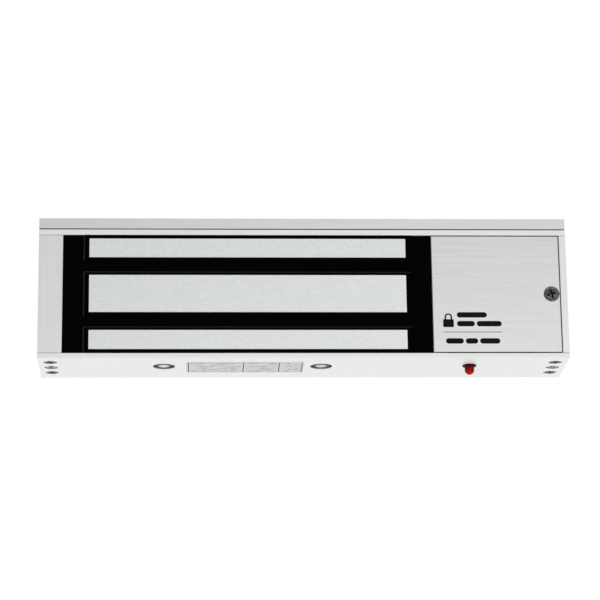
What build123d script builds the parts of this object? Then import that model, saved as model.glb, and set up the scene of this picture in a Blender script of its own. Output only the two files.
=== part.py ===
from build123d import *
from math import radians, tan
import os

# Surface-mounted magnetic door lock, hung under a door header.
# The origin is the centre of the mounting plate's top face, which meets the header.
# +X runs along the lock to the wiring compartment, the poles face -Y and +Z is up.
# All sizes are in millimetres.

# Overall size
LENGTH = 266.7
HEIGHT = 73.0
DEPTH = 39.7
FRONT = -DEPTH / 2
BACK = DEPTH / 2
UNDERSIDE = -HEIGHT

# Mounting plate, with a narrow seam between it and the housing
PLATE_THICK = 5.5
SEAM = 0.4
HOUSING_TOP = -PLATE_THICK - SEAM

# Housing: an extruded channel, open at the front
ROOF_THICK = 2.9
FLOOR_THICK = 2.4
BACK_THICK = 2.5
ROOF_INSIDE = HOUSING_TOP - ROOF_THICK
FLOOR_INSIDE = UNDERSIDE + FLOOR_THICK
BACK_INSIDE = BACK - BACK_THICK
MIDDLE_Z = (ROOF_INSIDE + FLOOR_INSIDE) / 2

# End blocks and their screws
END_BLOCK = 12.1
LEFT_INSIDE = -LENGTH / 2 + END_BLOCK
RIGHT_INSIDE = LENGTH / 2 - END_BLOCK
END_SCREW_X = LENGTH / 2 - END_BLOCK / 2
END_SCREW_Y = [-9.55, 0.55, 10.65]
END_SCREW_HEAD = 7.3
END_SCREW_SHANK = 3.4
END_SCREW_LENGTH = 12.7
END_SCREW_HOLE_DEPTH = 14.5
SCREW_CLEARANCE = 0.05

# Laminated E core
CORE_LENGTH = 159.7
CORE_X = -28.1
CORE_LEFT = CORE_X - CORE_LENGTH / 2
CORE_RIGHT = CORE_X + CORE_LENGTH / 2
CENTRE_LEG = 19.4
OUTER_LEG = 9.85
WINDOW = 9.32
WINDOW_DEPTH = 12.8
POLE_PROUD = 0.3
POLE_FACE = FRONT - POLE_PROUD
YOKE_FRONT = POLE_FACE + WINDOW_DEPTH
CORE_BACK = 8.15
CORE_HALF_HEIGHT = CENTRE_LEG / 2 + WINDOW + OUTER_LEG
RIVET_RADIUS = 1.6
RIVET_Y = 5.0
RIVET_SPACING = 24.0
RIVET_HEAD_RADIUS = 2.7
RIVET_HEAD_THICK = 1.2

# Coil on its bobbin, round the centre leg
BOBBIN_WALL = 0.8
BOBBIN_CLEARANCE = 0.1
BOBBIN_FRONT = FRONT + 3.0
BOBBIN_BACK = YOKE_FRONT - 0.1
COIL_BUILD = 7.2
TAPE_THICK = 0.3
FLANGE_REACH = 9.0
FLANGE_CORNER = 3.0
COIL_CORNER = 5.0

# Potting compound, with a raised rim round each pole
POTTING_RECESS = 1.6
RIM_SIDE = 2.0
RIM_END = 2.9
RIM_ROUND = 0.8

# Through bolts, 1/4 inch with 20 threads per inch
BOLT_X = {"left": -70.4, "right": 9.1}
BOLT_Y = -2.25
BOLT_DIAMETER = 6.35
BOLT_LENGTH = 63.5
BOLT_HEAD_DIAMETER = 9.52
BOLT_HEAD_HEIGHT = 6.35
BOLT_HEAD_RECESS = 0.3
HEX_SOCKET = 4.76
HEX_DEPTH = 3.2
BOLT_HEAD_CHAMFER = 0.5
BOLT_TIP_CHAMFER = 0.6
BOLT_HOLE = 6.6
COUNTERBORE = 11.1
WASHER_OUTER = 9.6
WASHER_THICK = 1.6
WASHER_SPLIT = 0.8
WASHER_CLEARANCE = 0.08
INSERT_OUTER = 9.5
INSERT_BORE = 6.45
INSERT_FLANGE = 12.7
INSERT_FLANGE_THICK = 1.1
INSERT_REACH = 2.8
INSERT_SUNK = 0.1

# Plate fixings to the header: four countersunk holes and two slots
PLATE_HOLE = 5.5
PLATE_HOLE_HEAD = 10.4
PLATE_HOLE_SPACING_X = 230.0
PLATE_HOLE_SPACING_Y = 22.0
PLATE_SLOT_X = -30.65
PLATE_SLOT_SPACING = 124.0
PLATE_SLOT_LENGTH = 16.0

# Wiring compartment: divider, cover and cable entry
DIVIDER_THICK = 2.0
DIVIDER_LEFT = 64.9
DIVIDER_RIGHT = DIVIDER_LEFT + DIVIDER_THICK
DIVIDER_LAND = 6.0
DIVIDER_LAND_DEPTH = 6.0
COVER_THICK = 1.5
COVER_SEAT = FRONT + COVER_THICK + 0.05
COVER_LEFT = 65.0
COVER_RIGHT = 129.5
COVER_GAP = 0.55
REBATE_EDGE = COVER_RIGHT + COVER_GAP
COVER_SCREW_X = 125.35
COVER_SCREW_HEAD = 7.9
COVER_SCREW_SHANK = 4.1
COVER_SCREW_LENGTH = 12.0
RETAINER_OUTER = 6.4
RETAINER_THICK = 0.8
RETAINER_SETBACK = 4.3
STUD_X = 68.0
STUD_OFFSET = 22.0
STUD_RADIUS = 1.5
STUD_REACH = 3.6
STUD_TIP_ROUND = 0.7
STUD_TENON_RADIUS = 1.0
STUD_TENON_SETBACK = 0.5
SOCKET_RADIUS = 2.3
SOCKET_CLEARANCE = 0.08
SOCKET_FLOOR = 0.6
CABLE_X = 98.0
CABLE_Y = 0.0
CABLE_BORE = 12.7
GROMMET_NECK = 15.9
GROMMET_FLANGE = 20.0
GROMMET_LIP = 1.6
GROMMET_ROUND = 0.6
PLATE_CABLE_HOLE = 22.2
LEAD_GROMMET_NECK = 3.4
LEAD_GROMMET_LIP = 4.4
LEAD_GROMMET_BORE = 2.5
LEAD_GROMMET_LIP_THICK = 1.2
SENSOR_HOLE = 1.5

# Circuit board and what it carries
BOARD_LEFT = 69.5
BOARD_SIZE = 49.0
BOARD_BOTTOM = -64.0
BOARD_THICK = 1.6
BOARD_FACE = 10.75
BOARD_HOLE_INSET = 3.5
BOARD_HOLE = 1.4
STANDOFF_RADIUS = 2.75
STANDOFF_STUD = 1.95
STANDOFF_END = 0.3
BOARD_SCREW_HEAD = 2.6
BOARD_SCREW_HEAD_HEIGHT = 1.8
BOARD_SCREW_ROUND = 0.9
BOARD_SCREW_SHANK = 1.25
BOARD_SCREW_REACH = 5.6
STANDOFF_BORE_DEPTH = 4.6
TERMINAL_PITCH = 5.08
TERMINAL_COUNT = 5
TERMINAL_LEFT = 90.0
TERMINAL_BOTTOM = -57.0
TERMINAL_HEIGHT = 10.0
TERMINAL_DEPTH = 10.0
TERMINAL_END_WALL = 0.6
TERMINAL_FRONT = BOARD_FACE - TERMINAL_DEPTH
WELL_RADIUS = 2.0
WELL_END = TERMINAL_FRONT + 2.55
THROAT_RADIUS = 1.4
CHAMBER_Z = TERMINAL_BOTTOM + 4.6
CHAMBER_HALF_WIDTH = 2.1
CHAMBER_FRONT = WELL_END + 0.5
CHAMBER_BACK = CHAMBER_FRONT + 6.4
CHAMBER_BELOW = 2.0
CHAMBER_ABOVE = 3.4
WIRE_ENTRY_HALF_WIDTH = 1.5
BAR_FRONT = CHAMBER_FRONT + 2.6
BAR_THICK = 0.8
BAR_HALF_WIDTH = 1.25
SOLDER_PIN_RADIUS = 0.5
SOLDER_PIN_RISE = 2.6
CLAMP_SCREW_HEAD = 1.9
CLAMP_SCREW_HEAD_HEIGHT = 1.57
CLAMP_SCREW_SHANK = 1.25
CLAMP_HALF_WIDTH = 2.0
CLAMP_HALF_HEIGHT = 1.8
CLAMP_LENGTH = 4.4
CLAMP_WALL = 0.6
CLAMP_ROOF = 0.8
CLAMP_FLOOR = 1.0

# Relay
RELAY_LEFT = 70.8
RELAY_BOTTOM = -37.0
RELAY_LENGTH = 18.8
RELAY_HEIGHT = 15.2
RELAY_DEPTH = 14.6
RELAY_LIFT = 0.4
RELAY_PIN_RADIUS = 0.4
RELAY_PIN_PLACES = [(2.0, 2.5), (2.0, 12.7), (13.8, 1.8), (13.8, 13.4), (16.8, 7.6)]

# Smaller parts on the board
CAPACITOR_X = 97.0
CAPACITOR_Z = -41.5
CAPACITOR_RADIUS = 4.0
CAPACITOR_HEIGHT = 11.5
CAPACITOR_ROUND = 0.5
CAPACITOR_GROOVE = 0.3
VARISTOR_X = 108.0
VARISTOR_Z = -33.5
VARISTOR_RADIUS = 5.0
VARISTOR_THICK = 3.6
VARISTOR_LIFT = 2.0
VARISTOR_LEAD_SPREAD = 2.5
DIODE_PLACES = [(x, z) for x in (97.0, 108.5) for z in (-20.5, -26.0)]
DIODE_RADIUS = 1.35
DIODE_LENGTH = 5.2
RESISTOR_PLACES = [(76.5, z) for z in (-49.5, -53.0, -56.5)]
RESISTOR_RADIUS = 1.15
RESISTOR_LENGTH = 6.3
COMPONENT_LIFT = 0.3
COMPONENT_WIRE = 0.7
COMPONENT_BEND = 0.8
COMPONENT_FOOT = 1.5
JUMPER_X = 111.0
JUMPER_Z = -43.5
PIN_PITCH = 2.54
PIN_SIZE = 0.64
PIN_REACH = 8.5
HEADER_DEPTH = 2.5
SHUNT_DEPTH = 6.4
SHUNT_ROOF = 0.4
SHUNT_HALF_WIDTH = 1.2
SHUNT_BORE_HALF_WIDTH = 0.45

# Indicator lamp in the underside
LAMP_X = 84.3
LAMP_Y = -4.05
LAMP_BARREL = 6.0
LAMP_FLANGE = 7.1
LAMP_FLANGE_THICK = 0.6
LAMP_FLANGE_CHAMFER = 0.25
LAMP_BARREL_LENGTH = 8.0
LAMP_NUT_HALF_FLATS = 4.2
LAMP_NUT_THICK = 2.2
LENS_DIAMETER = 4.9
LENS_DROP = 4.8
LENS_RISE = 4.4
LAMP_LEAD_SPREAD = 1.2
LAMP_LEAD_Z = -50.0

# Bond sensor and the leads
SENSOR_Y = -10.0
SENSOR_Z = -15.7
SENSOR_RADIUS = 1.15
SENSOR_LEFT = 53.6
SENSOR_RIGHT = 61.6
SENSOR_ROUND = 0.4
COIL_LEAD_Y = -9.0
COIL_LEAD_Z = -42.0
COIL_LEAD_RISE = 0.4
COIL_LEAD_SPREAD = 1.4
COIL_LEAD_END_X = 78.0
SENSOR_LEAD_SPREAD = 0.6
SENSOR_LEAD_END_X = 79.0
COIL_LEAD_DIAMETER = 1.4
LAMP_LEAD_DIAMETER = 1.2
SENSOR_LEAD_DIAMETER = 1.0

# Rating label on the underside
LABEL_LEFT = -59.1
LABEL_LENGTH = 59.3
LABEL_FRONT = FRONT + 8.65
LABEL_WIDTH = 20.1
LABEL_THICK = 0.12
LABEL_CORNER = 1.0


def block(x0, x1, y0, y1, z0, z1):
    """A box between two corners."""
    centre = Location(((x0 + x1) / 2, (y0 + y1) / 2, (z0 + z1) / 2))
    return centre * Box(abs(x1 - x0), abs(y1 - y0), abs(z1 - z0))


def rod_x(radius, y, z, x0, x1):
    """A round rod along X."""
    return Location(((x0 + x1) / 2, y, z), (0, 90, 0)) * Cylinder(radius, x1 - x0)


def rod_y(radius, x, z, y0, y1):
    """A round rod along Y."""
    return Location((x, (y0 + y1) / 2, z), (90, 0, 0)) * Cylinder(radius, y1 - y0)


def rod_z(radius, x, y, z0, z1):
    """A round rod along Z."""
    return Location((x, y, (z0 + z1) / 2)) * Cylinder(radius, z1 - z0)


def cross_recess(width, depth):
    """The four-armed driver recess, its mouth in the XY plane, cut downwards."""
    arm = Box(width, width * 0.24, depth * 0.7, align=(Align.CENTER, Align.CENTER, Align.MAX))
    core = Location((0, 0, -depth / 2)) * Cone(width * 0.1, width * 0.27, depth)
    return arm + Rot(0, 0, 90) * arm + core


def flat_head_screw(head, shank, length):
    """An 82 degree flat-head screw, its head's flat face at z = 0, pointing down."""
    taper = (head - shank) / 2 / tan(radians(41))
    cone = Location((0, 0, -taper / 2)) * Cone(shank / 2, head / 2, taper)
    body = Cylinder(shank / 2, length, align=(Align.CENTER, Align.CENTER, Align.MAX))
    return cone + body - cross_recess(head * 0.56, taper * 0.85)


def countersink(head, shank, length, clearance=SCREW_CLEARANCE):
    """The hole that a flat-head screw sits in."""
    wide = head / 2 + clearance
    narrow = shank / 2 + clearance
    taper = (wide - narrow) / tan(radians(41))
    cone = Location((0, 0, -taper / 2)) * Cone(narrow, wide, taper)
    mouth = Cylinder(wide, 1.0, align=(Align.CENTER, Align.CENTER, Align.MIN))
    return cone + mouth + Cylinder(narrow, length, align=(Align.CENTER, Align.CENTER, Align.MAX))


def rect_loop(inner_x, inner_z, build, y0, y1, inner_radius, outer_radius):
    """A rounded rectangular ring round the core's centre leg, along Y."""
    at = Location((CORE_X, y1, MIDDLE_Z), (90, 0, 0))
    outer = RectangleRounded(inner_x + 2 * build, inner_z + 2 * build, outer_radius)
    inner = RectangleRounded(inner_x, inner_z, inner_radius)
    return at * extrude(outer - inner, y1 - y0)


def lead(points, diameter, radii):
    """An insulated wire along straight runs joined by tangent arcs."""
    path = FilletPolyline(*points, radius=radii)
    start = Plane(origin=path @ 0, z_dir=path % 0)
    return sweep(start * Circle(diameter / 2), path=path)


def arc_radius(points):
    """The largest smooth radius at the one corner of a three-point route."""
    first = Vector(*points[1]) - Vector(*points[0])
    second = Vector(*points[2]) - Vector(*points[1])
    return 0.45 * min(first.length, second.length) / tan(radians(first.get_angle(second) / 2))


def end_screw_places(side):
    """Where the end screws' heads sit, with the turn that points each into its block."""
    x = side * END_SCREW_X
    below = [Location((x, y, UNDERSIDE), (180, 0, 20 * i)) for i, y in enumerate(END_SCREW_Y)]
    above = [Location((x, y, HOUSING_TOP)) for y in END_SCREW_Y]
    return below + above


def mounting_plate():
    plate = block(-LENGTH / 2, LENGTH / 2, FRONT, BACK, -PLATE_THICK, 0)
    for x in BOLT_X.values():
        plate -= rod_z(INSERT_OUTER / 2, x, BOLT_Y, -PLATE_THICK, 0)
        plate -= rod_z(INSERT_FLANGE / 2, x, BOLT_Y, -INSERT_FLANGE_THICK - INSERT_SUNK, 0)
    plate -= rod_z(PLATE_CABLE_HOLE / 2, CABLE_X, CABLE_Y, -PLATE_THICK, 0)
    hole = Rot(180, 0, 0) * countersink(PLATE_HOLE_HEAD, PLATE_HOLE, PLATE_THICK + 1, 0)
    for x in (-PLATE_HOLE_SPACING_X / 2, PLATE_HOLE_SPACING_X / 2):
        for y in (-PLATE_HOLE_SPACING_Y / 2, PLATE_HOLE_SPACING_Y / 2):
            plate -= Location((x, y, -PLATE_THICK)) * hole
    relief = PLATE_HOLE_HEAD / 2 - PLATE_HOLE / 2
    for x in (PLATE_SLOT_X - PLATE_SLOT_SPACING / 2, PLATE_SLOT_X + PLATE_SLOT_SPACING / 2):
        slot = SlotOverall(PLATE_SLOT_LENGTH, PLATE_HOLE)
        pocket = SlotOverall(PLATE_SLOT_LENGTH + 2 * relief, PLATE_HOLE_HEAD)
        plate -= Location((x, 0, -PLATE_THICK)) * extrude(slot, PLATE_THICK)
        plate -= Location((x, 0, -PLATE_THICK)) * extrude(pocket, relief)
    return plate


def plate_thread_inserts():
    inserts = []
    for x in BOLT_X.values():
        low = -PLATE_THICK - INSERT_REACH
        barrel = rod_z(INSERT_OUTER / 2, x, BOLT_Y, low, -INSERT_SUNK)
        flange_low = -INSERT_FLANGE_THICK - INSERT_SUNK
        flange = rod_z(INSERT_FLANGE / 2, x, BOLT_Y, flange_low, -INSERT_SUNK)
        bore = rod_z(INSERT_BORE / 2, x, BOLT_Y, low, 0)
        inserts.append((barrel + flange - bore).solid())
    return Compound(inserts)


def board_corners():
    """The board's four fixing points, as (x, z)."""
    low_x = BOARD_LEFT + BOARD_HOLE_INSET
    high_x = BOARD_LEFT + BOARD_SIZE - BOARD_HOLE_INSET
    low_z = BOARD_BOTTOM + BOARD_HOLE_INSET
    high_z = BOARD_BOTTOM + BOARD_SIZE - BOARD_HOLE_INSET
    return [(low_x, low_z), (high_x, low_z), (low_x, high_z), (high_x, high_z)]


def housing_channel():
    housing = block(-LENGTH / 2, LENGTH / 2, FRONT, BACK, UNDERSIDE, HOUSING_TOP)
    housing -= block(-LENGTH / 2, LENGTH / 2, FRONT, BACK_INSIDE, FLOOR_INSIDE, ROOF_INSIDE)
    for x in BOLT_X.values():
        housing -= rod_z(INSERT_OUTER / 2 + 0.1, x, BOLT_Y, ROOF_INSIDE, HOUSING_TOP)
        housing -= rod_z(COUNTERBORE / 2, x, BOLT_Y, UNDERSIDE, FLOOR_INSIDE)
    housing -= rod_z(GROMMET_NECK / 2, CABLE_X, CABLE_Y, ROOF_INSIDE, HOUSING_TOP)
    housing -= rod_z(LAMP_BARREL / 2, LAMP_X, LAMP_Y, UNDERSIDE, FLOOR_INSIDE)
    sink = countersink(END_SCREW_HEAD, END_SCREW_SHANK, END_SCREW_LENGTH)
    for side in (-1, 1):
        for place in end_screw_places(side):
            housing -= place * sink
    for x, z in board_corners():
        housing -= rod_y(STANDOFF_STUD + SCREW_CLEARANCE, x, z, BACK_INSIDE, BACK)
    return housing


def end_block(side):
    inner = side * RIGHT_INSIDE
    outer = side * LENGTH / 2
    body = block(inner, outer, FRONT, BACK_INSIDE, FLOOR_INSIDE, ROOF_INSIDE)
    hole = Cylinder(END_SCREW_SHANK / 2 + SCREW_CLEARANCE, END_SCREW_HOLE_DEPTH,
                    align=(Align.CENTER, Align.CENTER, Align.MAX))
    for place in end_screw_places(side):
        body -= place * hole
    if side > 0:
        body -= block(inner, REBATE_EDGE, FRONT, COVER_SEAT, FLOOR_INSIDE, ROOF_INSIDE)
        pocket_end = COVER_SEAT + RETAINER_SETBACK + RETAINER_THICK + 0.9
        body -= rod_y(RETAINER_OUTER / 2 + 0.2, COVER_SCREW_X, MIDDLE_Z, COVER_SEAT, pocket_end)
        body -= rod_y(COVER_SCREW_SHANK / 2 + 0.1, COVER_SCREW_X, MIDDLE_Z, pocket_end, FRONT + 14.0)
    return body


def end_screws(side):
    screw = flat_head_screw(END_SCREW_HEAD, END_SCREW_SHANK, END_SCREW_LENGTH)
    return Compound([(place * screw).solid() for place in end_screw_places(side)])


def leg_spans():
    """The three legs' lowest and highest heights, lower leg first."""
    half = CENTRE_LEG / 2
    return [
        (MIDDLE_Z - CORE_HALF_HEIGHT, MIDDLE_Z - half - WINDOW),
        (MIDDLE_Z - half, MIDDLE_Z + half),
        (MIDDLE_Z + half + WINDOW, MIDDLE_Z + CORE_HALF_HEIGHT),
    ]


def bolt_passages(reach_top):
    """The two bolts' bores and counterbores, to cut from what they go through."""
    passages = []
    for x in BOLT_X.values():
        seat = UNDERSIDE + BOLT_HEAD_RECESS + BOLT_HEAD_HEIGHT + WASHER_THICK + 0.02
        bore = rod_z(BOLT_HOLE / 2, x, BOLT_Y, UNDERSIDE, reach_top)
        passages.append(bore + rod_z(COUNTERBORE / 2, x, BOLT_Y, UNDERSIDE, seat))
    return passages


def core_envelope():
    core = block(CORE_LEFT, CORE_RIGHT, YOKE_FRONT, CORE_BACK,
                 MIDDLE_Z - CORE_HALF_HEIGHT, MIDDLE_Z + CORE_HALF_HEIGHT)
    for low, high in leg_spans():
        core += block(CORE_LEFT, CORE_RIGHT, POLE_FACE, YOKE_FRONT, low, high)
    return core


def rivet_heights():
    return [MIDDLE_Z - RIVET_SPACING, MIDDLE_Z, MIDDLE_Z + RIVET_SPACING]


def core_laminations():
    core = core_envelope()
    for passage in bolt_passages(HOUSING_TOP):
        core -= passage
    for z in rivet_heights():
        core -= rod_x(RIVET_RADIUS, RIVET_Y, z, CORE_LEFT, CORE_RIGHT)
    return core


def core_rivets():
    rivets = []
    for z in rivet_heights():
        rivet = rod_x(RIVET_RADIUS, RIVET_Y, z, CORE_LEFT, CORE_RIGHT)
        rivet += rod_x(RIVET_HEAD_RADIUS, RIVET_Y, z, CORE_LEFT - RIVET_HEAD_THICK, CORE_LEFT)
        rivet += rod_x(RIVET_HEAD_RADIUS, RIVET_Y, z, CORE_RIGHT, CORE_RIGHT + RIVET_HEAD_THICK)
        rivets.append(rivet.solid())
    return Compound(rivets)


def coil_parts():
    """The bobbin, the winding on it and the tape round the winding."""
    inner_x = CORE_LENGTH + 2 * BOBBIN_CLEARANCE
    inner_z = CENTRE_LEG + 2 * BOBBIN_CLEARANCE
    wound_x = inner_x + 2 * BOBBIN_WALL
    wound_z = inner_z + 2 * BOBBIN_WALL
    front = BOBBIN_FRONT + BOBBIN_WALL
    back = BOBBIN_BACK - BOBBIN_WALL
    bobbin = rect_loop(inner_x, inner_z, BOBBIN_WALL, BOBBIN_FRONT, BOBBIN_BACK, 0.2, 1.0)
    for y in (BOBBIN_FRONT, back):
        bobbin += rect_loop(inner_x, inner_z, FLANGE_REACH, y, y + BOBBIN_WALL, 0.2, FLANGE_CORNER)
    winding = rect_loop(wound_x, wound_z, COIL_BUILD, front, back, 1.0, COIL_CORNER)
    taped_x = wound_x + 2 * COIL_BUILD
    taped_z = wound_z + 2 * COIL_BUILD
    tape = rect_loop(taped_x, taped_z, TAPE_THICK, front, back, COIL_CORNER, COIL_CORNER + TAPE_THICK)
    return bobbin, winding, tape


def coil_end_face():
    """The X of the taped coil's right-hand end."""
    return CORE_RIGHT + BOBBIN_CLEARANCE + BOBBIN_WALL + COIL_BUILD + TAPE_THICK


def coil_lead(offset):
    z = COIL_LEAD_Z + offset
    points = [(coil_end_face(), COIL_LEAD_Y, z), (COIL_LEAD_END_X, COIL_LEAD_Y + COIL_LEAD_RISE, z),
              (COIL_LEAD_END_X, BOARD_FACE, z)]
    return lead(points, COIL_LEAD_DIAMETER, [arc_radius(points)])


def bond_sensor():
    glass = rod_x(SENSOR_RADIUS, SENSOR_Y, SENSOR_Z, SENSOR_LEFT, SENSOR_RIGHT)
    return fillet(glass.edges().filter_by(GeomType.CIRCLE), SENSOR_ROUND)


def sensor_leads():
    leads = []
    for offset in (-SENSOR_LEAD_SPREAD, SENSOR_LEAD_SPREAD):
        z = SENSOR_Z + offset
        points = [(SENSOR_RIGHT, SENSOR_Y, z), (SENSOR_LEAD_END_X, SENSOR_Y, z),
                  (SENSOR_LEAD_END_X, BOARD_FACE, z)]
        leads.append(lead(points, SENSOR_LEAD_DIAMETER, [arc_radius(points)]).solid())
    return Compound(leads)


def clear_of_channel(edge):
    """True for an edge that doesn't lie along the channel's floor or roof."""
    z = edge.center().Z
    return min(z - FLOOR_INSIDE, ROOF_INSIDE - z) > RIM_ROUND


def potting_compound():
    front = FRONT + POTTING_RECESS
    potting = block(LEFT_INSIDE, DIVIDER_LEFT, front, BACK_INSIDE, FLOOR_INSIDE, ROOF_INSIDE)
    spans = leg_spans()
    rims = [(FLOOR_INSIDE, spans[0][1] + RIM_SIDE), (spans[1][0] - RIM_SIDE, spans[1][1] + RIM_SIDE),
            (spans[2][0] - RIM_SIDE, ROOF_INSIDE)]
    for low, high in rims:
        rim = block(CORE_LEFT - RIM_END, CORE_RIGHT + RIM_END, FRONT, front, low, high)
        outline = rim.faces().sort_by(Axis.Y)[0].edges()
        potting += fillet([edge for edge in outline if clear_of_channel(edge)], RIM_ROUND)
    potting -= core_envelope()
    reach_x = CORE_LENGTH / 2 + FLANGE_REACH + 0.2
    reach_z = CENTRE_LEG / 2 + WINDOW
    potting -= block(CORE_X - reach_x, CORE_X + reach_x, BOBBIN_FRONT, YOKE_FRONT,
                     MIDDLE_Z - reach_z, MIDDLE_Z + reach_z)
    potting -= core_rivets()
    for passage in bolt_passages(HOUSING_TOP):
        potting -= passage
    potting -= rod_x(SENSOR_RADIUS, SENSOR_Y, SENSOR_Z, SENSOR_LEFT, SENSOR_RIGHT)
    wire = SENSOR_LEAD_DIAMETER / 2
    tall = SENSOR_LEAD_SPREAD + wire
    potting -= block(SENSOR_RIGHT, DIVIDER_LEFT, SENSOR_Y - wire, SENSOR_Y + wire,
                     SENSOR_Z - tall, SENSOR_Z + tall)
    wire = COIL_LEAD_DIAMETER / 2
    tall = COIL_LEAD_SPREAD + wire
    potting -= block(coil_end_face(), DIVIDER_LEFT, COIL_LEAD_Y - wire, COIL_LEAD_Y + COIL_LEAD_RISE + wire,
                     COIL_LEAD_Z - tall, COIL_LEAD_Z + tall)
    return potting


def lead_bush(radius, start, end):
    """A round stretch along X about the point where the coil's leads cross the divider."""
    return rod_x(radius, COIL_LEAD_Y + COIL_LEAD_RISE / 2, COIL_LEAD_Z, start, end)


def compartment_divider():
    wall = block(DIVIDER_LEFT, DIVIDER_RIGHT, COVER_SEAT, BACK_INSIDE, FLOOR_INSIDE, ROOF_INSIDE)
    wall += block(DIVIDER_LEFT, DIVIDER_LEFT + DIVIDER_LAND, COVER_SEAT, FRONT + DIVIDER_LAND_DEPTH,
                  FLOOR_INSIDE, ROOF_INSIDE)
    for z in (MIDDLE_Z - STUD_OFFSET, MIDDLE_Z + STUD_OFFSET):
        wall -= rod_y(SOCKET_RADIUS, STUD_X, z, COVER_SEAT, FRONT + DIVIDER_LAND_DEPTH)
    wall -= lead_bush(LEAD_GROMMET_NECK, DIVIDER_LEFT, DIVIDER_RIGHT)
    wall -= rod_x(SENSOR_HOLE, SENSOR_Y, SENSOR_Z, DIVIDER_LEFT, DIVIDER_RIGHT)
    return wall


def divider_grommet():
    lip_end = DIVIDER_RIGHT + LEAD_GROMMET_LIP_THICK
    lip = lead_bush(LEAD_GROMMET_LIP, DIVIDER_RIGHT, lip_end)
    lip = fillet(lip.edges().filter_by(GeomType.CIRCLE).sort_by(Axis.X)[-1], GROMMET_ROUND)
    neck = lead_bush(LEAD_GROMMET_NECK, DIVIDER_LEFT, DIVIDER_RIGHT)
    return neck + lip - lead_bush(LEAD_GROMMET_BORE, DIVIDER_LEFT, lip_end)


def stud_sockets():
    sockets = []
    for z in (MIDDLE_Z - STUD_OFFSET, MIDDLE_Z + STUD_OFFSET):
        end = FRONT + DIVIDER_LAND_DEPTH
        sleeve = rod_y(SOCKET_RADIUS, STUD_X, z, COVER_SEAT, end)
        bore = rod_y(STUD_RADIUS + SOCKET_CLEARANCE, STUD_X, z, COVER_SEAT, end - SOCKET_FLOOR)
        sockets.append((sleeve - bore).solid())
    return Compound(sockets)


def cover_plate():
    cover = block(COVER_LEFT, COVER_RIGHT, FRONT, FRONT + COVER_THICK,
                  FLOOR_INSIDE + COVER_GAP, ROOF_INSIDE - COVER_GAP)
    sink = countersink(COVER_SCREW_HEAD, COVER_SCREW_SHANK, COVER_SCREW_LENGTH)
    cover -= Location((COVER_SCREW_X, FRONT, MIDDLE_Z), (90, 0, 0)) * sink
    for z in (MIDDLE_Z - STUD_OFFSET, MIDDLE_Z + STUD_OFFSET):
        cover -= rod_y(STUD_TENON_RADIUS, STUD_X, z, FRONT + STUD_TENON_SETBACK, FRONT + COVER_THICK)
    return cover


def cover_studs():
    studs = []
    inside = FRONT + COVER_THICK
    for z in (MIDDLE_Z - STUD_OFFSET, MIDDLE_Z + STUD_OFFSET):
        stud = rod_y(STUD_RADIUS, STUD_X, z, inside, inside + STUD_REACH)
        tip = stud.edges().filter_by(GeomType.CIRCLE).sort_by(Axis.Y)[-1]
        stud = fillet(tip, STUD_TIP_ROUND)
        stud += rod_y(STUD_TENON_RADIUS, STUD_X, z, FRONT + STUD_TENON_SETBACK, inside)
        studs.append(stud.solid())
    return Compound(studs)


def cover_screw():
    screw = flat_head_screw(COVER_SCREW_HEAD, COVER_SCREW_SHANK, COVER_SCREW_LENGTH)
    return Location((COVER_SCREW_X, FRONT, MIDDLE_Z), (90, 0, 0)) * Rot(0, 0, 17) * screw


def cover_screw_retainer():
    y = COVER_SEAT + RETAINER_SETBACK
    ring = rod_y(RETAINER_OUTER / 2, COVER_SCREW_X, MIDDLE_Z, y, y + RETAINER_THICK)
    bore = COVER_SCREW_SHANK / 2 + SCREW_CLEARANCE
    return ring - rod_y(bore, COVER_SCREW_X, MIDDLE_Z, y, y + RETAINER_THICK)


def cable_grommet():
    neck = rod_z(GROMMET_NECK / 2, CABLE_X, CABLE_Y, ROOF_INSIDE, HOUSING_TOP)
    low_end = ROOF_INSIDE - GROMMET_LIP
    high_end = HOUSING_TOP + GROMMET_LIP
    low = rod_z(GROMMET_FLANGE / 2, CABLE_X, CABLE_Y, low_end, ROOF_INSIDE)
    low = fillet(low.edges().filter_by(GeomType.CIRCLE).sort_by(Axis.Z)[0], GROMMET_ROUND)
    high = rod_z(GROMMET_FLANGE / 2, CABLE_X, CABLE_Y, HOUSING_TOP, high_end)
    high = fillet(high.edges().filter_by(GeomType.CIRCLE).sort_by(Axis.Z)[-1], GROMMET_ROUND)
    return neck + low + high - rod_z(CABLE_BORE / 2, CABLE_X, CABLE_Y, low_end, high_end)


def mounting_bolt(side):
    head_low = UNDERSIDE + BOLT_HEAD_RECESS
    head_high = head_low + BOLT_HEAD_HEIGHT
    head = Location((0, 0, head_low)) * Cylinder(
        BOLT_HEAD_DIAMETER / 2, BOLT_HEAD_HEIGHT, align=(Align.CENTER, Align.CENTER, Align.MIN))
    rim = head.edges().filter_by(GeomType.CIRCLE).sort_by(Axis.Z)[0]
    head = chamfer(rim, BOLT_HEAD_CHAMFER)
    socket = RegularPolygon(HEX_SOCKET / 2, 6, major_radius=False, rotation=15)
    head -= Location((0, 0, head_low)) * extrude(socket, HEX_DEPTH)
    shank = rod_z(BOLT_DIAMETER / 2, 0, 0, head_high, head_high + BOLT_LENGTH)
    tip = shank.edges().filter_by(GeomType.CIRCLE).sort_by(Axis.Z)[-1]
    return Location((BOLT_X[side], BOLT_Y, 0)) * (head + chamfer(tip, BOLT_TIP_CHAMFER))


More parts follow.
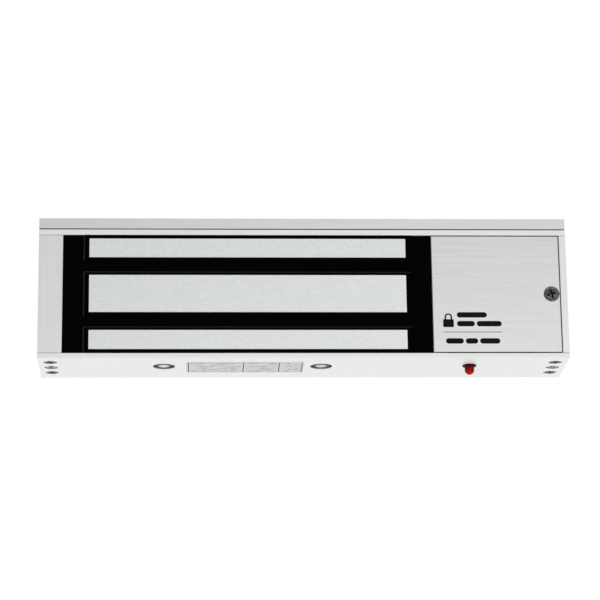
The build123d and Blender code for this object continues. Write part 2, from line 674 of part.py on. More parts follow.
def bolt_washer(side):
    low = UNDERSIDE + BOLT_HEAD_RECESS + BOLT_HEAD_HEIGHT
    x = BOLT_X[side]
    ring = rod_z(WASHER_OUTER / 2, x, BOLT_Y, low, low + WASHER_THICK)
    high = low + WASHER_THICK
    ring -= rod_z(BOLT_DIAMETER / 2 + WASHER_CLEARANCE, x, BOLT_Y, low, high)
    return ring - block(x, x + WASHER_OUTER, BOLT_Y, BOLT_Y + WASHER_SPLIT, low, high)


def circuit_board():
    right = BOARD_LEFT + BOARD_SIZE
    top = BOARD_BOTTOM + BOARD_SIZE
    board = block(BOARD_LEFT, right, BOARD_FACE, BOARD_FACE + BOARD_THICK, BOARD_BOTTOM, top)
    for x, z in board_corners():
        board -= rod_y(BOARD_HOLE, x, z, BOARD_FACE, BOARD_FACE + BOARD_THICK)
    return board


def board_standoffs():
    standoffs = []
    start = BOARD_FACE + BOARD_THICK
    for x, z in board_corners():
        post = rod_y(STANDOFF_RADIUS, x, z, start, BACK_INSIDE)
        post += rod_y(STANDOFF_STUD, x, z, BACK_INSIDE, BACK - STANDOFF_END)
        post -= rod_y(BOARD_SCREW_SHANK, x, z, start, start + STANDOFF_BORE_DEPTH)
        standoffs.append(post.solid())
    return Compound(standoffs)


def board_screws():
    screws = []
    front = BOARD_FACE - BOARD_SCREW_HEAD_HEIGHT
    for x, z in board_corners():
        head = rod_y(BOARD_SCREW_HEAD, x, z, front, BOARD_FACE)
        rim = head.edges().filter_by(GeomType.CIRCLE).sort_by(Axis.Y)[0]
        head = fillet(rim, BOARD_SCREW_ROUND)
        recess = cross_recess(BOARD_SCREW_HEAD * 1.08, BOARD_SCREW_HEAD_HEIGHT * 0.72)
        shank = rod_y(BOARD_SCREW_SHANK, x, z, BOARD_FACE, BOARD_FACE + BOARD_SCREW_REACH)
        screw = head + shank - Location((x, front, z), (90, 0, 0)) * recess
        screws.append(screw.solid())
    return Compound(screws)


def terminal_x(index):
    return TERMINAL_LEFT + TERMINAL_END_WALL + TERMINAL_PITCH * (index + 0.5)


def terminal_block_housing():
    width = TERMINAL_PITCH * TERMINAL_COUNT + 2 * TERMINAL_END_WALL
    body = block(TERMINAL_LEFT, TERMINAL_LEFT + width, TERMINAL_FRONT, BOARD_FACE,
                 TERMINAL_BOTTOM, TERMINAL_BOTTOM + TERMINAL_HEIGHT)
    for index in range(TERMINAL_COUNT):
        x = terminal_x(index)
        body -= rod_y(WELL_RADIUS, x, CHAMBER_Z, TERMINAL_FRONT, WELL_END)
        body -= rod_y(THROAT_RADIUS, x, CHAMBER_Z, WELL_END, CHAMBER_FRONT)
        body -= block(x - CHAMBER_HALF_WIDTH, x + CHAMBER_HALF_WIDTH, CHAMBER_FRONT, CHAMBER_BACK,
                      CHAMBER_Z - CHAMBER_BELOW, CHAMBER_Z + CHAMBER_ABOVE)
        body -= block(x - WIRE_ENTRY_HALF_WIDTH, x + WIRE_ENTRY_HALF_WIDTH, BAR_FRONT + 0.2,
                      CHAMBER_BACK - 0.4, TERMINAL_BOTTOM, CHAMBER_Z - CHAMBER_BELOW)
        body -= rod_y(SOLDER_PIN_RADIUS, x, CHAMBER_Z + SOLDER_PIN_RISE, CHAMBER_BACK, BOARD_FACE)
    return body


def terminal_contacts():
    contacts = []
    for index in range(TERMINAL_COUNT):
        x = terminal_x(index)
        bar = block(x - BAR_HALF_WIDTH, x + BAR_HALF_WIDTH, BAR_FRONT, BAR_FRONT + BAR_THICK,
                    CHAMBER_Z - CHAMBER_BELOW + 0.1, CHAMBER_Z + CHAMBER_ABOVE - 0.1)
        pin = rod_y(SOLDER_PIN_RADIUS, x, CHAMBER_Z + SOLDER_PIN_RISE, BAR_FRONT + BAR_THICK, BOARD_FACE)
        contacts.append((bar + pin).solid())
    return Compound(contacts)


def terminal_screw(index):
    x = terminal_x(index)
    seat = WELL_END - 0.03
    front = seat - CLAMP_SCREW_HEAD_HEIGHT
    head = rod_y(CLAMP_SCREW_HEAD, x, CHAMBER_Z, front, seat)
    shank = rod_y(CLAMP_SCREW_SHANK, x, CHAMBER_Z, seat, BAR_FRONT - 0.1)
    slot = Box(2.2 * CLAMP_SCREW_HEAD, CLAMP_SCREW_HEAD_HEIGHT, 0.6)
    return head + shank - Location((x, front, CHAMBER_Z), (0, 25 * index, 0)) * slot


def terminal_clamp(index):
    x = terminal_x(index)
    front = CHAMBER_FRONT + 0.1
    low = CHAMBER_Z - CLAMP_HALF_HEIGHT
    high = CHAMBER_Z + CLAMP_HALF_HEIGHT
    inside = CLAMP_HALF_WIDTH - CLAMP_WALL
    cage = block(x - CLAMP_HALF_WIDTH, x + CLAMP_HALF_WIDTH, front, front + CLAMP_LENGTH, low, high)
    cage -= block(x - inside, x + inside, front + CLAMP_ROOF, front + CLAMP_LENGTH - CLAMP_FLOOR, low, high)
    return cage - rod_y(CLAMP_SCREW_SHANK + 0.07, x, CHAMBER_Z, front, front + CLAMP_ROOF)


def relay_case():
    back = BOARD_FACE - RELAY_LIFT
    case = block(RELAY_LEFT, RELAY_LEFT + RELAY_LENGTH, back - RELAY_DEPTH, back,
                 RELAY_BOTTOM, RELAY_BOTTOM + RELAY_HEIGHT)
    return fillet(case.edges().filter_by(Axis.Y), 0.8)


def relay_pins():
    pins = []
    for x, z in RELAY_PIN_PLACES:
        pin = rod_y(RELAY_PIN_RADIUS, RELAY_LEFT + x, RELAY_BOTTOM + z, BOARD_FACE - RELAY_LIFT, BOARD_FACE)
        pins.append(pin.solid())
    return Compound(pins)


def capacitor():
    can = rod_y(CAPACITOR_RADIUS, CAPACITOR_X, CAPACITOR_Z, BOARD_FACE - CAPACITOR_HEIGHT, BOARD_FACE)
    can = fillet(can.edges().filter_by(GeomType.CIRCLE), CAPACITOR_ROUND)
    high = BOARD_FACE - 2.0
    low = high - 2 * CAPACITOR_GROOVE
    groove = rod_y(CAPACITOR_RADIUS, CAPACITOR_X, CAPACITOR_Z, low, high)
    return can - (groove - rod_y(CAPACITOR_RADIUS - CAPACITOR_GROOVE, CAPACITOR_X, CAPACITOR_Z, low, high))


def varistor():
    centre_y = BOARD_FACE - VARISTOR_LIFT - VARISTOR_RADIUS
    disc = Location((VARISTOR_X, centre_y, VARISTOR_Z)) * Cylinder(VARISTOR_RADIUS, VARISTOR_THICK)
    disc = fillet(disc.edges().filter_by(GeomType.CIRCLE), VARISTOR_THICK / 3)
    for x in (VARISTOR_X - VARISTOR_LEAD_SPREAD, VARISTOR_X + VARISTOR_LEAD_SPREAD):
        disc += rod_y(COMPONENT_WIRE / 2, x, VARISTOR_Z, BOARD_FACE - 2 * VARISTOR_LIFT, BOARD_FACE)
    return disc


def axial_part(x, z, body_radius, body_length):
    """A wire-ended component lying along X, its leads turned down to the board."""
    y = BOARD_FACE - body_radius - COMPONENT_LIFT
    half = body_length / 2
    foot = half + COMPONENT_FOOT
    route = [(x - foot, BOARD_FACE, z), (x - foot, y, z), (x + foot, y, z), (x + foot, BOARD_FACE, z)]
    wire = lead(route, COMPONENT_WIRE, [COMPONENT_BEND, COMPONENT_BEND])
    return (rod_x(body_radius, y, z, x - half, x + half) + wire).solid()


def diodes():
    return Compound([axial_part(x, z, DIODE_RADIUS, DIODE_LENGTH) for x, z in DIODE_PLACES])


def resistors():
    return Compound([axial_part(x, z, RESISTOR_RADIUS, RESISTOR_LENGTH) for x, z in RESISTOR_PLACES])


def pin_places():
    return [JUMPER_X + PIN_PITCH * step for step in (-1, 0, 1)]


def jumper_header():
    front = BOARD_FACE - HEADER_DEPTH
    base = block(JUMPER_X - 1.5 * PIN_PITCH, JUMPER_X + 1.5 * PIN_PITCH, front,
                 BOARD_FACE, JUMPER_Z - PIN_PITCH / 2, JUMPER_Z + PIN_PITCH / 2)
    half = PIN_SIZE / 2
    for x in pin_places():
        base -= block(x - half, x + half, front, BOARD_FACE, JUMPER_Z - half, JUMPER_Z + half)
    return base


def jumper_pins():
    half = PIN_SIZE / 2
    pins = []
    for x in pin_places():
        pin = block(x - half, x + half, BOARD_FACE - PIN_REACH, BOARD_FACE,
                    JUMPER_Z - half, JUMPER_Z + half)
        pins.append(pin.solid())
    return Compound(pins)


def voltage_jumper():
    low = JUMPER_X - PIN_PITCH - SHUNT_HALF_WIDTH
    high = JUMPER_X + SHUNT_HALF_WIDTH
    back = BOARD_FACE - HEADER_DEPTH - 0.05
    front = back - SHUNT_DEPTH
    cap = block(low, high, front, back, JUMPER_Z - SHUNT_HALF_WIDTH, JUMPER_Z + SHUNT_HALF_WIDTH)
    half = SHUNT_BORE_HALF_WIDTH
    for x in pin_places()[:2]:
        cap -= block(x - half, x + half, front + SHUNT_ROOF, back, JUMPER_Z - half, JUMPER_Z + half)
    return cap


def lamp_bezel():
    flange = rod_z(LAMP_FLANGE / 2, LAMP_X, LAMP_Y, UNDERSIDE - LAMP_FLANGE_THICK, UNDERSIDE)
    rim = flange.edges().filter_by(GeomType.CIRCLE).sort_by(Axis.Z)[0]
    flange = chamfer(rim, LAMP_FLANGE_CHAMFER)
    top = UNDERSIDE + LAMP_BARREL_LENGTH
    barrel = rod_z(LAMP_BARREL / 2, LAMP_X, LAMP_Y, UNDERSIDE, top)
    bore = rod_z(LENS_DIAMETER / 2, LAMP_X, LAMP_Y, UNDERSIDE - LAMP_FLANGE_THICK, top)
    return flange + barrel - bore


def lamp_nut():
    hexagon = RegularPolygon(LAMP_NUT_HALF_FLATS, 6, major_radius=False)
    nut = Location((LAMP_X, LAMP_Y, FLOOR_INSIDE)) * extrude(hexagon, LAMP_NUT_THICK)
    return nut - rod_z(LAMP_BARREL / 2, LAMP_X, LAMP_Y, FLOOR_INSIDE, FLOOR_INSIDE + LAMP_NUT_THICK)


def lamp_lens():
    radius = LENS_DIAMETER / 2
    dome_centre = UNDERSIDE - LENS_DROP + radius
    dome = Location((LAMP_X, LAMP_Y, dome_centre)) * Sphere(radius)
    dome &= block(LAMP_X - radius, LAMP_X + radius, LAMP_Y - radius, LAMP_Y + radius,
                  dome_centre - radius, dome_centre)
    return dome + rod_z(radius, LAMP_X, LAMP_Y, dome_centre, UNDERSIDE + LENS_RISE)


def lamp_leads():
    leads = []
    for offset in (-LAMP_LEAD_SPREAD, LAMP_LEAD_SPREAD):
        x = LAMP_X + offset
        points = [(x, LAMP_Y, UNDERSIDE + LENS_RISE), (x, LAMP_Y, LAMP_LEAD_Z),
                  (x, BOARD_FACE, LAMP_LEAD_Z)]
        leads.append(lead(points, LAMP_LEAD_DIAMETER, [arc_radius(points)]).solid())
    return Compound(leads)


def rating_label():
    outline = RectangleRounded(LABEL_LENGTH, LABEL_WIDTH, LABEL_CORNER)
    middle = Location((LABEL_LEFT + LABEL_LENGTH / 2, LABEL_FRONT + LABEL_WIDTH / 2,
                       UNDERSIDE - LABEL_THICK))
    return middle * extrude(outline, LABEL_THICK)


bobbin, winding, tape = coil_parts()
nodes = {
    "mounting_plate": mounting_plate(),
    "plate_thread_inserts": plate_thread_inserts(),
    "housing_channel": housing_channel(),
    "end_block_left": end_block(-1),
    "end_block_right": end_block(1),
    "end_screws_left": end_screws(-1),
    "end_screws_right": end_screws(1),
    "core_laminations": core_laminations(),
    "core_rivets": core_rivets(),
    "coil_bobbin": bobbin,
    "coil_winding": winding,
    "coil_tape": tape,
    "potting_compound": potting_compound(),
    "bond_sensor": bond_sensor(),
    "sensor_leads": sensor_leads(),
    "coil_lead_red": coil_lead(COIL_LEAD_SPREAD),
    "coil_lead_black": coil_lead(-COIL_LEAD_SPREAD),
    "compartment_divider": compartment_divider(),
    "divider_grommet": divider_grommet(),
    "stud_sockets": stud_sockets(),
    "cable_grommet": cable_grommet(),
    "circuit_board": circuit_board(),
    "board_standoffs": board_standoffs(),
    "board_screws": board_screws(),
    "terminal_block_housing": terminal_block_housing(),
    "terminal_contacts": terminal_contacts(),
    "relay_case": relay_case(),
    "relay_pins": relay_pins(),
    "capacitor": capacitor(),
    "varistor": varistor(),
    "diodes": diodes(),
    "resistors": resistors(),
    "jumper_header": jumper_header(),
    "jumper_pins": jumper_pins(),
    "voltage_jumper": voltage_jumper(),
    "lamp_bezel": lamp_bezel(),
    "lamp_nut": lamp_nut(),
    "lamp_lens": lamp_lens(),
    "lamp_leads": lamp_leads(),
    "rating_label": rating_label(),
    "cover_plate": cover_plate(),
    "cover_studs": cover_studs(),
    "cover_screw": cover_screw(),
    "cover_screw_retainer": cover_screw_retainer(),
}
for index in range(TERMINAL_COUNT):
    nodes[f"terminal_screw_{index + 1}"] = terminal_screw(index)
    nodes[f"terminal_clamp_{index + 1}"] = terminal_clamp(index)
for side in BOLT_X:
    nodes[f"mounting_bolt_{side}"] = mounting_bolt(side)
    nodes[f"bolt_washer_{side}"] = bolt_washer(side)

os.makedirs("parts", exist_ok=True)
for name, shape in nodes.items():
    export_step(shape, f"parts/{name}.step")
print(len(nodes), "nodes")
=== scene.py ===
import bpy
from math import ceil, cos, pi, radians, sin, tan
from mathutils import Matrix, Vector


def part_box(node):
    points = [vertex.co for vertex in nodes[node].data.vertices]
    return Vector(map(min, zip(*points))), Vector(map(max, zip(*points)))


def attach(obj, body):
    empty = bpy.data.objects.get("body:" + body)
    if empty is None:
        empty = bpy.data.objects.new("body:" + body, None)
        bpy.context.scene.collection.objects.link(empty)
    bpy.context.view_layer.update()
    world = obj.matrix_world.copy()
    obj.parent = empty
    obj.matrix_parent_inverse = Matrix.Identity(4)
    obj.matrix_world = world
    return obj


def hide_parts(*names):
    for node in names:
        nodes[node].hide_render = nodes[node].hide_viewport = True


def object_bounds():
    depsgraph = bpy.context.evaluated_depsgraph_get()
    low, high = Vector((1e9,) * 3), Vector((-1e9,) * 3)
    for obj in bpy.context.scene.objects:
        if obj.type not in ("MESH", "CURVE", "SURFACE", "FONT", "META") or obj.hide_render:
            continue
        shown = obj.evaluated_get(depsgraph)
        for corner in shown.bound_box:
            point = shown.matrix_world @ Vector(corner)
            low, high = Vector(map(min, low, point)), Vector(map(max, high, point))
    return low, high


# A surface-mounted magnetic door lock seen from below, its poles towards the camera.
# Everything is in metres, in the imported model's frame: +X to the wiring compartment, +Z up.
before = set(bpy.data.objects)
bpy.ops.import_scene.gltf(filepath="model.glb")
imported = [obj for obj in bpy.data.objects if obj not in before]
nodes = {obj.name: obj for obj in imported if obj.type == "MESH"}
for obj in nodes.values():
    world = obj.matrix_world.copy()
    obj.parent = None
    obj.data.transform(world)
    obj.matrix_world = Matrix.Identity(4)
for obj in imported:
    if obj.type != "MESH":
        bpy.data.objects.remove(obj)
cad_low, cad_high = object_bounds()
MM = 0.001

# Camera
CAMERA_PLACE = Vector((-58.5, -1235.4, -395.4)) * MM
CAMERA_AZIMUTH = radians(-2.66)
CAMERA_ELEVATION = radians(-16.15)
CAMERA_ROLL = radians(-0.7)
LENS = 151.1
SENSOR = 36.0

# Room
FLOOR_DROP = 0.62
FLOOR_SIZE = 9.0

# The hollow of the housing: its aluminium is left as extruded, and its inside is painted dark grey
# as shade
housing_low, housing_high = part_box("housing_channel")
UNSHADED_SKIN = 0.0001
UNSHADED_END = 0.0005
UNSHADED_EDGE = 0.0004
hollow_low = housing_low + Vector((UNSHADED_END, UNSHADED_SKIN, UNSHADED_EDGE))
hollow_high = housing_high - Vector((UNSHADED_END, UNSHADED_EDGE, UNSHADED_EDGE))

# Thin lines of painted shade where the end blocks meet the channel, and under the plate
ROOF_THICK = 0.0029
FLOOR_THICK = 0.0024
JOINT_SHADE_LINE = 0.00025
SEAM_SHADE_LINE = 0.0001

# Beyond the lock on every side
FAR = 1.0

# Light
KEY_POWER = 4.0
FILL_POWER = 1.0
HIGH_POWER = 6.0
TOP_POWER = 27.0
FRONT_LIGHT = 0.38
BACK_LIGHT = 0.92
LIGHT_TURN = 0.7


# ---- materials

# How squarely a face has to be turned along a direction to start, and to count in full
FACING_START = 0.82
FACING_FULL = 0.94


def add_node(tree, kind, **values):
    """A shader node with numbers on its sockets, an underscore for each space in their names."""
    node = tree.nodes.new("ShaderNode" + kind)
    for socket, value in values.items():
        node.inputs[socket.replace("_", " ")].default_value = value
    return node


class Surface:
    """A procedural material, built one node at a time on object coordinates."""

    def __init__(self, name, colour, metallic, roughness, gloss=0.5):
        self.material = bpy.data.materials.new(name)
        self.material.use_nodes = True
        self.tree = self.material.node_tree
        self.shader = self.tree.nodes["Principled BSDF"]
        self.set("Base Color", (*colour, 1.0))
        self.set("Metallic", metallic)
        self.set("Roughness", roughness)
        self.set("Specular IOR Level", gloss)
        coordinates = self.add("TexCoord")
        self.place = coordinates.outputs["Object"]
        self.normal = coordinates.outputs["Normal"]

    def set(self, socket, value):
        self.shader.inputs[socket].default_value = value

    def add(self, kind, **values):
        return add_node(self.tree, kind, **values)

    def link(self, source, target):
        self.tree.links.new(source, target)

    def noise(self, per_metre, detail=3.0, distortion=0.0):
        """Noise with a number of features to the metre, even or one each along X, Y and Z."""
        if isinstance(per_metre, float):
            per_metre = (per_metre,) * 3
        mapping = self.add("Mapping", Scale=per_metre)
        self.link(self.place, mapping.inputs["Vector"])
        noise = self.add("TexNoise", Scale=1.0, Detail=detail, Distortion=distortion)
        self.link(mapping.outputs["Vector"], noise.inputs["Vector"])
        return noise.outputs["Fac"]

    def blend(self, first, second, amount):
        """A weighted mean of two grey values."""
        mix = self.add("Mix", Factor=amount)
        self.link(first, mix.inputs["A"])
        self.link(second, mix.inputs["B"])
        return mix.outputs["Result"]

    def combine(self, operation, first, second):
        """Two grey values, or one and a number, through a sum."""
        node = self.add("Math")
        node.operation = operation
        self.link(first, node.inputs[0])
        if isinstance(second, float):
            node.inputs[1].default_value = second
        else:
            self.link(second, node.inputs[1])
        return node.outputs["Value"]

    def rescale(self, source, low, high, from_low=0.3, from_high=0.7):
        """Spreads a grey value over a new range."""
        spread = self.add("MapRange", From_Min=from_low, From_Max=from_high,
                          To_Min=low, To_Max=high)
        self.link(source, spread.inputs["Value"])
        return spread.outputs["Result"]

    def inverted(self, source):
        """1 where a grey value is 0, and 0 where it is 1."""
        return self.rescale(source, 1.0, 0.0, 0.0, 1.0)

    def facing(self, direction, both=False):
        """1 on faces turned along a direction, or either way along it, and 0 elsewhere."""
        dot = self.add("VectorMath")
        dot.operation = "DOT_PRODUCT"
        dot.inputs[1].default_value = direction
        self.link(self.normal, dot.inputs[0])
        amount = dot.outputs["Value"]
        if both:
            amount = self.combine("ABSOLUTE", amount, 0.0)
        return self.rescale(amount, 0.0, 1.0, FACING_START, FACING_FULL)

    def within(self, low, high):
        """1 inside a box and 0 outside it."""
        split = self.add("SeparateXYZ")
        self.link(self.place, split.inputs["Vector"])
        inside = None
        for axis, start, end in zip("XYZ", low, high):
            above = self.combine("GREATER_THAN", split.outputs[axis], float(start))
            below = self.combine("LESS_THAN", split.outputs[axis], float(end))
            slab = self.combine("MULTIPLY", above, below)
            inside = slab if inside is None else self.combine("MULTIPLY", inside, slab)
        return inside

    def ramp(self, source, *stops):
        """A colour for each grey value, through (position, colour) stops."""
        ramp = self.add("ValToRGB")
        points = ramp.color_ramp.elements
        while len(points) < len(stops):
            points.new(0.5)
        for point, (position, colour) in zip(points, stops):
            point.position = position
            point.color = (*colour, 1.0)
        self.link(source, ramp.inputs["Fac"])
        return ramp.outputs["Color"]

    def overlay(self, colour, other, amount):
        """Another colour wherever a grey value is 1."""
        mix = self.add("Mix")
        mix.data_type = "RGBA"
        self.link(amount, mix.inputs["Factor"])
        self.link(colour, mix.inputs["A"])
        mix.inputs["B"].default_value = (*other, 1.0)
        return next(socket for socket in mix.outputs if socket.type == "RGBA")

    def paint(self, colour):
        self.link(colour, self.shader.inputs["Base Color"])

    def tint(self, source, *stops):
        """Paints the whole surface by a grey value."""
        self.paint(self.ramp(source, *stops))

    def vary_roughness(self, source, low, high):
        self.link(self.rescale(source, low, high), self.shader.inputs["Roughness"])

    def bump(self, source, height, strength=1.0):
        bump = self.add("Bump", Strength=strength, Distance=height)
        self.link(source, bump.inputs["Height"])
        self.link(bump.outputs["Normal"], self.shader.inputs["Normal"])


def grey(value):
    return (value, value, value)


def shaded_hollow(surface):
    """Where the channel is painted dark as shade: its inside, its top, and a thin line along its
    top edge.
    """
    seam_shade_low = housing_high - Vector((FAR, FAR, SEAM_SHADE_LINE))
    seam_shade = surface.within(seam_shade_low, housing_high + Vector((FAR, FAR, FAR)))
    hollow = surface.within(hollow_low, hollow_high)
    inside = surface.combine("MAXIMUM", hollow, surface.facing((0, 0, 1)))
    return surface.combine("MAXIMUM", inside, seam_shade)


def shaded_block_joints(surface):
    """Where an end block is painted dark as shade: its inside, and lines where it meets the roof
    and floor.
    """
    clean_low = housing_low + Vector((-FAR, -FAR, FLOOR_THICK + JOINT_SHADE_LINE))
    clean_high = housing_high + Vector((FAR, FAR, -ROOF_THICK - JOINT_SHADE_LINE))
    joint_shade = surface.inverted(surface.within(clean_low, clean_high))
    return surface.combine("MAXIMUM", joint_shade, surface.within(hollow_low, hollow_high))


def shaded_plate_base(surface):
    """Where the plate is painted dark as shade: its underside and a thin line along its bottom
    edge.
    """
    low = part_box("mounting_plate")[0]
    seam_shade_high = Vector((FAR, FAR, low.z + SEAM_SHADE_LINE))
    seam_shade = surface.within(low - Vector((FAR, FAR, FAR)), seam_shade_high)
    return surface.combine("MAXIMUM", surface.facing((0, 0, -1)), seam_shade)


def shaded_cover_edges(surface):
    """Every face but the cover's front and back, painted dark as shade in the gap round the cover.
    """
    return surface.inverted(surface.facing((0, 1, 0), both=True))


def brushed_aluminium(name, along, light, roughness, streak, shade_mask=None, shade_grey=0.24):
    """Clear-anodised aluminium brushed along one axis, its hidden faces and the walls of its gaps
    painted dark grey as shade.
    """
    surface = Surface(name, grey(light), 1.0, roughness)
    fine, broad = [2600.0] * 3, [620.0] * 3
    fine["XYZ".index(along)] = 55.0
    broad["XYZ".index(along)] = 22.0
    lines = surface.blend(surface.noise(fine, 2.0), surface.noise(broad, 3.0), 0.5)
    stops = []
    for position, value in ((0.34, light - streak), (0.66, min(light + streak, 0.985))):
        stops.append((position, (value, value, value * 0.995)))
    colour = surface.ramp(lines, *stops)
    # Painted shade: a dark grey over the faces picked by the mask, standing in for shade in gaps
    # and hollows.
    if shade_mask:
        colour = surface.overlay(colour, grey(shade_grey), shade_mask(surface))
    surface.paint(colour)
    surface.vary_roughness(lines, roughness - 0.05, roughness + 0.06)
    surface.bump(lines, 0.00002, 0.3)
    return surface.material


def ground_steel():
    """Pole faces: ground flat, then plated, with a fine satin mottle."""
    surface = Surface("ground_steel", grey(0.9), 1.0, 0.46)
    cloud = surface.noise(700.0, 5.0, 0.4)
    scratch = surface.noise((300.0, 1500.0, 1500.0), 4.0)
    mottle = surface.blend(cloud, scratch, 0.5)
    surface.tint(mottle, (0.34, (0.82, 0.845, 0.86)), (0.66, (0.93, 0.945, 0.95)))
    surface.vary_roughness(mottle, 0.42, 0.54)
    surface.bump(mottle, 0.00002, 0.35)
    return surface.material


def potting():
    """Black cast epoxy, painted paler along the upper and left ledges of its rims as a highlight
    where light falls.
    """
    surface = Surface("black_potting", grey(0.001), 0.0, 0.34, 0.012)
    cast = surface.noise(160.0, 4.0)
    flat = surface.ramp(cast, (0.35, grey(0.0006)), (0.75, grey(0.0014)))
    # Painted highlight: faces turned up and to the left, where the light falls, are lighter grey.
    upper, left = surface.facing((0, -0.64, 0.77)), surface.facing((-0.77, -0.64, 0))
    ledge_highlight = surface.combine("MAXIMUM", upper, left)
    surface.paint(surface.overlay(flat, grey(0.03), ledge_highlight))
    surface.vary_roughness(cast, 0.28, 0.4)
    ripple = surface.blend(cast, surface.noise(900.0, 2.0), 0.3)
    surface.bump(ripple, 0.00005, 0.3)
    return surface.material


def turned_steel(name, light, roughness, tint=(1.0, 1.0, 1.0)):
    """Small bright metal parts, with fine handling marks."""
    surface = Surface(name, tuple(light * c for c in tint), 1.0, roughness)
    marks = surface.noise(1500.0, 5.0, 0.6)
    low = tuple(light * 0.8 * c for c in tint)
    high = tuple(min(light * 1.1, 1.0) * c for c in tint)
    surface.tint(marks, (0.35, low), (0.65, high))
    surface.vary_roughness(marks, roughness * 0.8, roughness * 1.35)
    surface.bump(marks, 0.00001, 0.3)
    return surface.material


def black_oxide(name, light, roughness=0.36, scale=1100.0):
    """Oil-blackened steel, a little paler where it is worn."""
    surface = Surface(name, grey(light), 0.85, roughness)
    wear = surface.noise(scale, 5.0, 0.8)
    surface.tint(wear, (0.38, grey(light * 0.45)), (0.52, grey(light)), (0.66, grey(light * 2.0)))
    surface.vary_roughness(wear, roughness - 0.08, roughness + 0.12)
    surface.bump(wear, 0.00001, 0.4)
    return surface.material


def moulded(name, colour, roughness=0.38, grain=1400.0, height=0.00001, gloss=0.5):
    """Moulded plastic with a fine spark-eroded grain."""
    surface = Surface(name, colour, 0.0, roughness, gloss)
    skin = surface.noise(grain, 3.0)
    low = tuple(c * 0.86 for c in colour)
    high = tuple(min(c * 1.12 + 0.003, 1.0) for c in colour)
    surface.tint(skin, (0.35, low), (0.65, high))
    surface.vary_roughness(skin, roughness - 0.06, roughness + 0.08)
    surface.bump(skin, height, 0.4)
    return surface.material


def red_lens():
    """Deep red tinted resin, painted darkest as shade where it goes up into its bezel and brightest
    as light at its tip.
    """
    surface = Surface("red_lens", (0.3, 0.001, 0.001), 0.0, 0.08, 0.12)
    surface.set("Subsurface Weight", 0.3)
    surface.set("Subsurface Radius", (0.0014, 0.0001, 0.0001))
    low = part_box("lamp_lens")[0]
    shade_fade = 0.0052
    split = surface.add("SeparateXYZ")
    surface.link(surface.place, split.inputs["Vector"])
    # Painted shade and light: darkest next to the bezel, brightest towards the tip, with a little
    # random haze.
    depth = surface.rescale(split.outputs["Z"], 0.0, 1.0, low.z, low.z + shade_fade)
    shade_and_haze = surface.blend(depth, surface.noise(500.0, 2.0), 0.25)
    surface.tint(shade_and_haze, (0.15, (0.48, 0.001, 0.001)), (0.5, (0.24, 0.0004, 0.0004)),
                 (0.85, (0.015, 0.0, 0.0)))
    surface.vary_roughness(shade_and_haze, 0.06, 0.12)
    return surface.material


def print_ink(name, colour):
    """Screen-printed ink, very slightly uneven."""
    surface = Surface(name, colour, 0.0, 0.5, 0.08)
    film = surface.noise(2500.0, 3.0)
    high = tuple(c * 1.15 + 0.002 for c in colour)
    surface.tint(film, (0.3, tuple(c * 0.8 for c in colour)), (0.7, high))
    surface.vary_roughness(film, 0.42, 0.6)
    return surface.material


def label_film():
    """Silver polyester label stock with a satin face."""
    surface = Surface("label_film", grey(0.7), 0.5, 0.42)
    film = surface.noise(500.0, 3.0)
    surface.tint(film, (0.3, (0.66, 0.67, 0.69)), (0.7, (0.73, 0.74, 0.76)))
    surface.vary_roughness(film, 0.38, 0.5)
    surface.bump(film, 0.00001, 0.3)
    return surface.material


def wound_copper():
    """Enamelled copper wire, each turn a ridge along the winding's length."""
    surface = Surface("wound_copper", (0.6, 0.24, 0.1), 0.9, 0.3)
    turns = surface.noise((9.0, 1900.0, 1900.0), 1.0)
    surface.tint(turns, (0.35, (0.42, 0.14, 0.05)), (0.65, (0.78, 0.36, 0.18)))
    surface.vary_roughness(turns, 0.22, 0.4)
    surface.bump(turns, 0.0001, 0.8)
    return surface.material


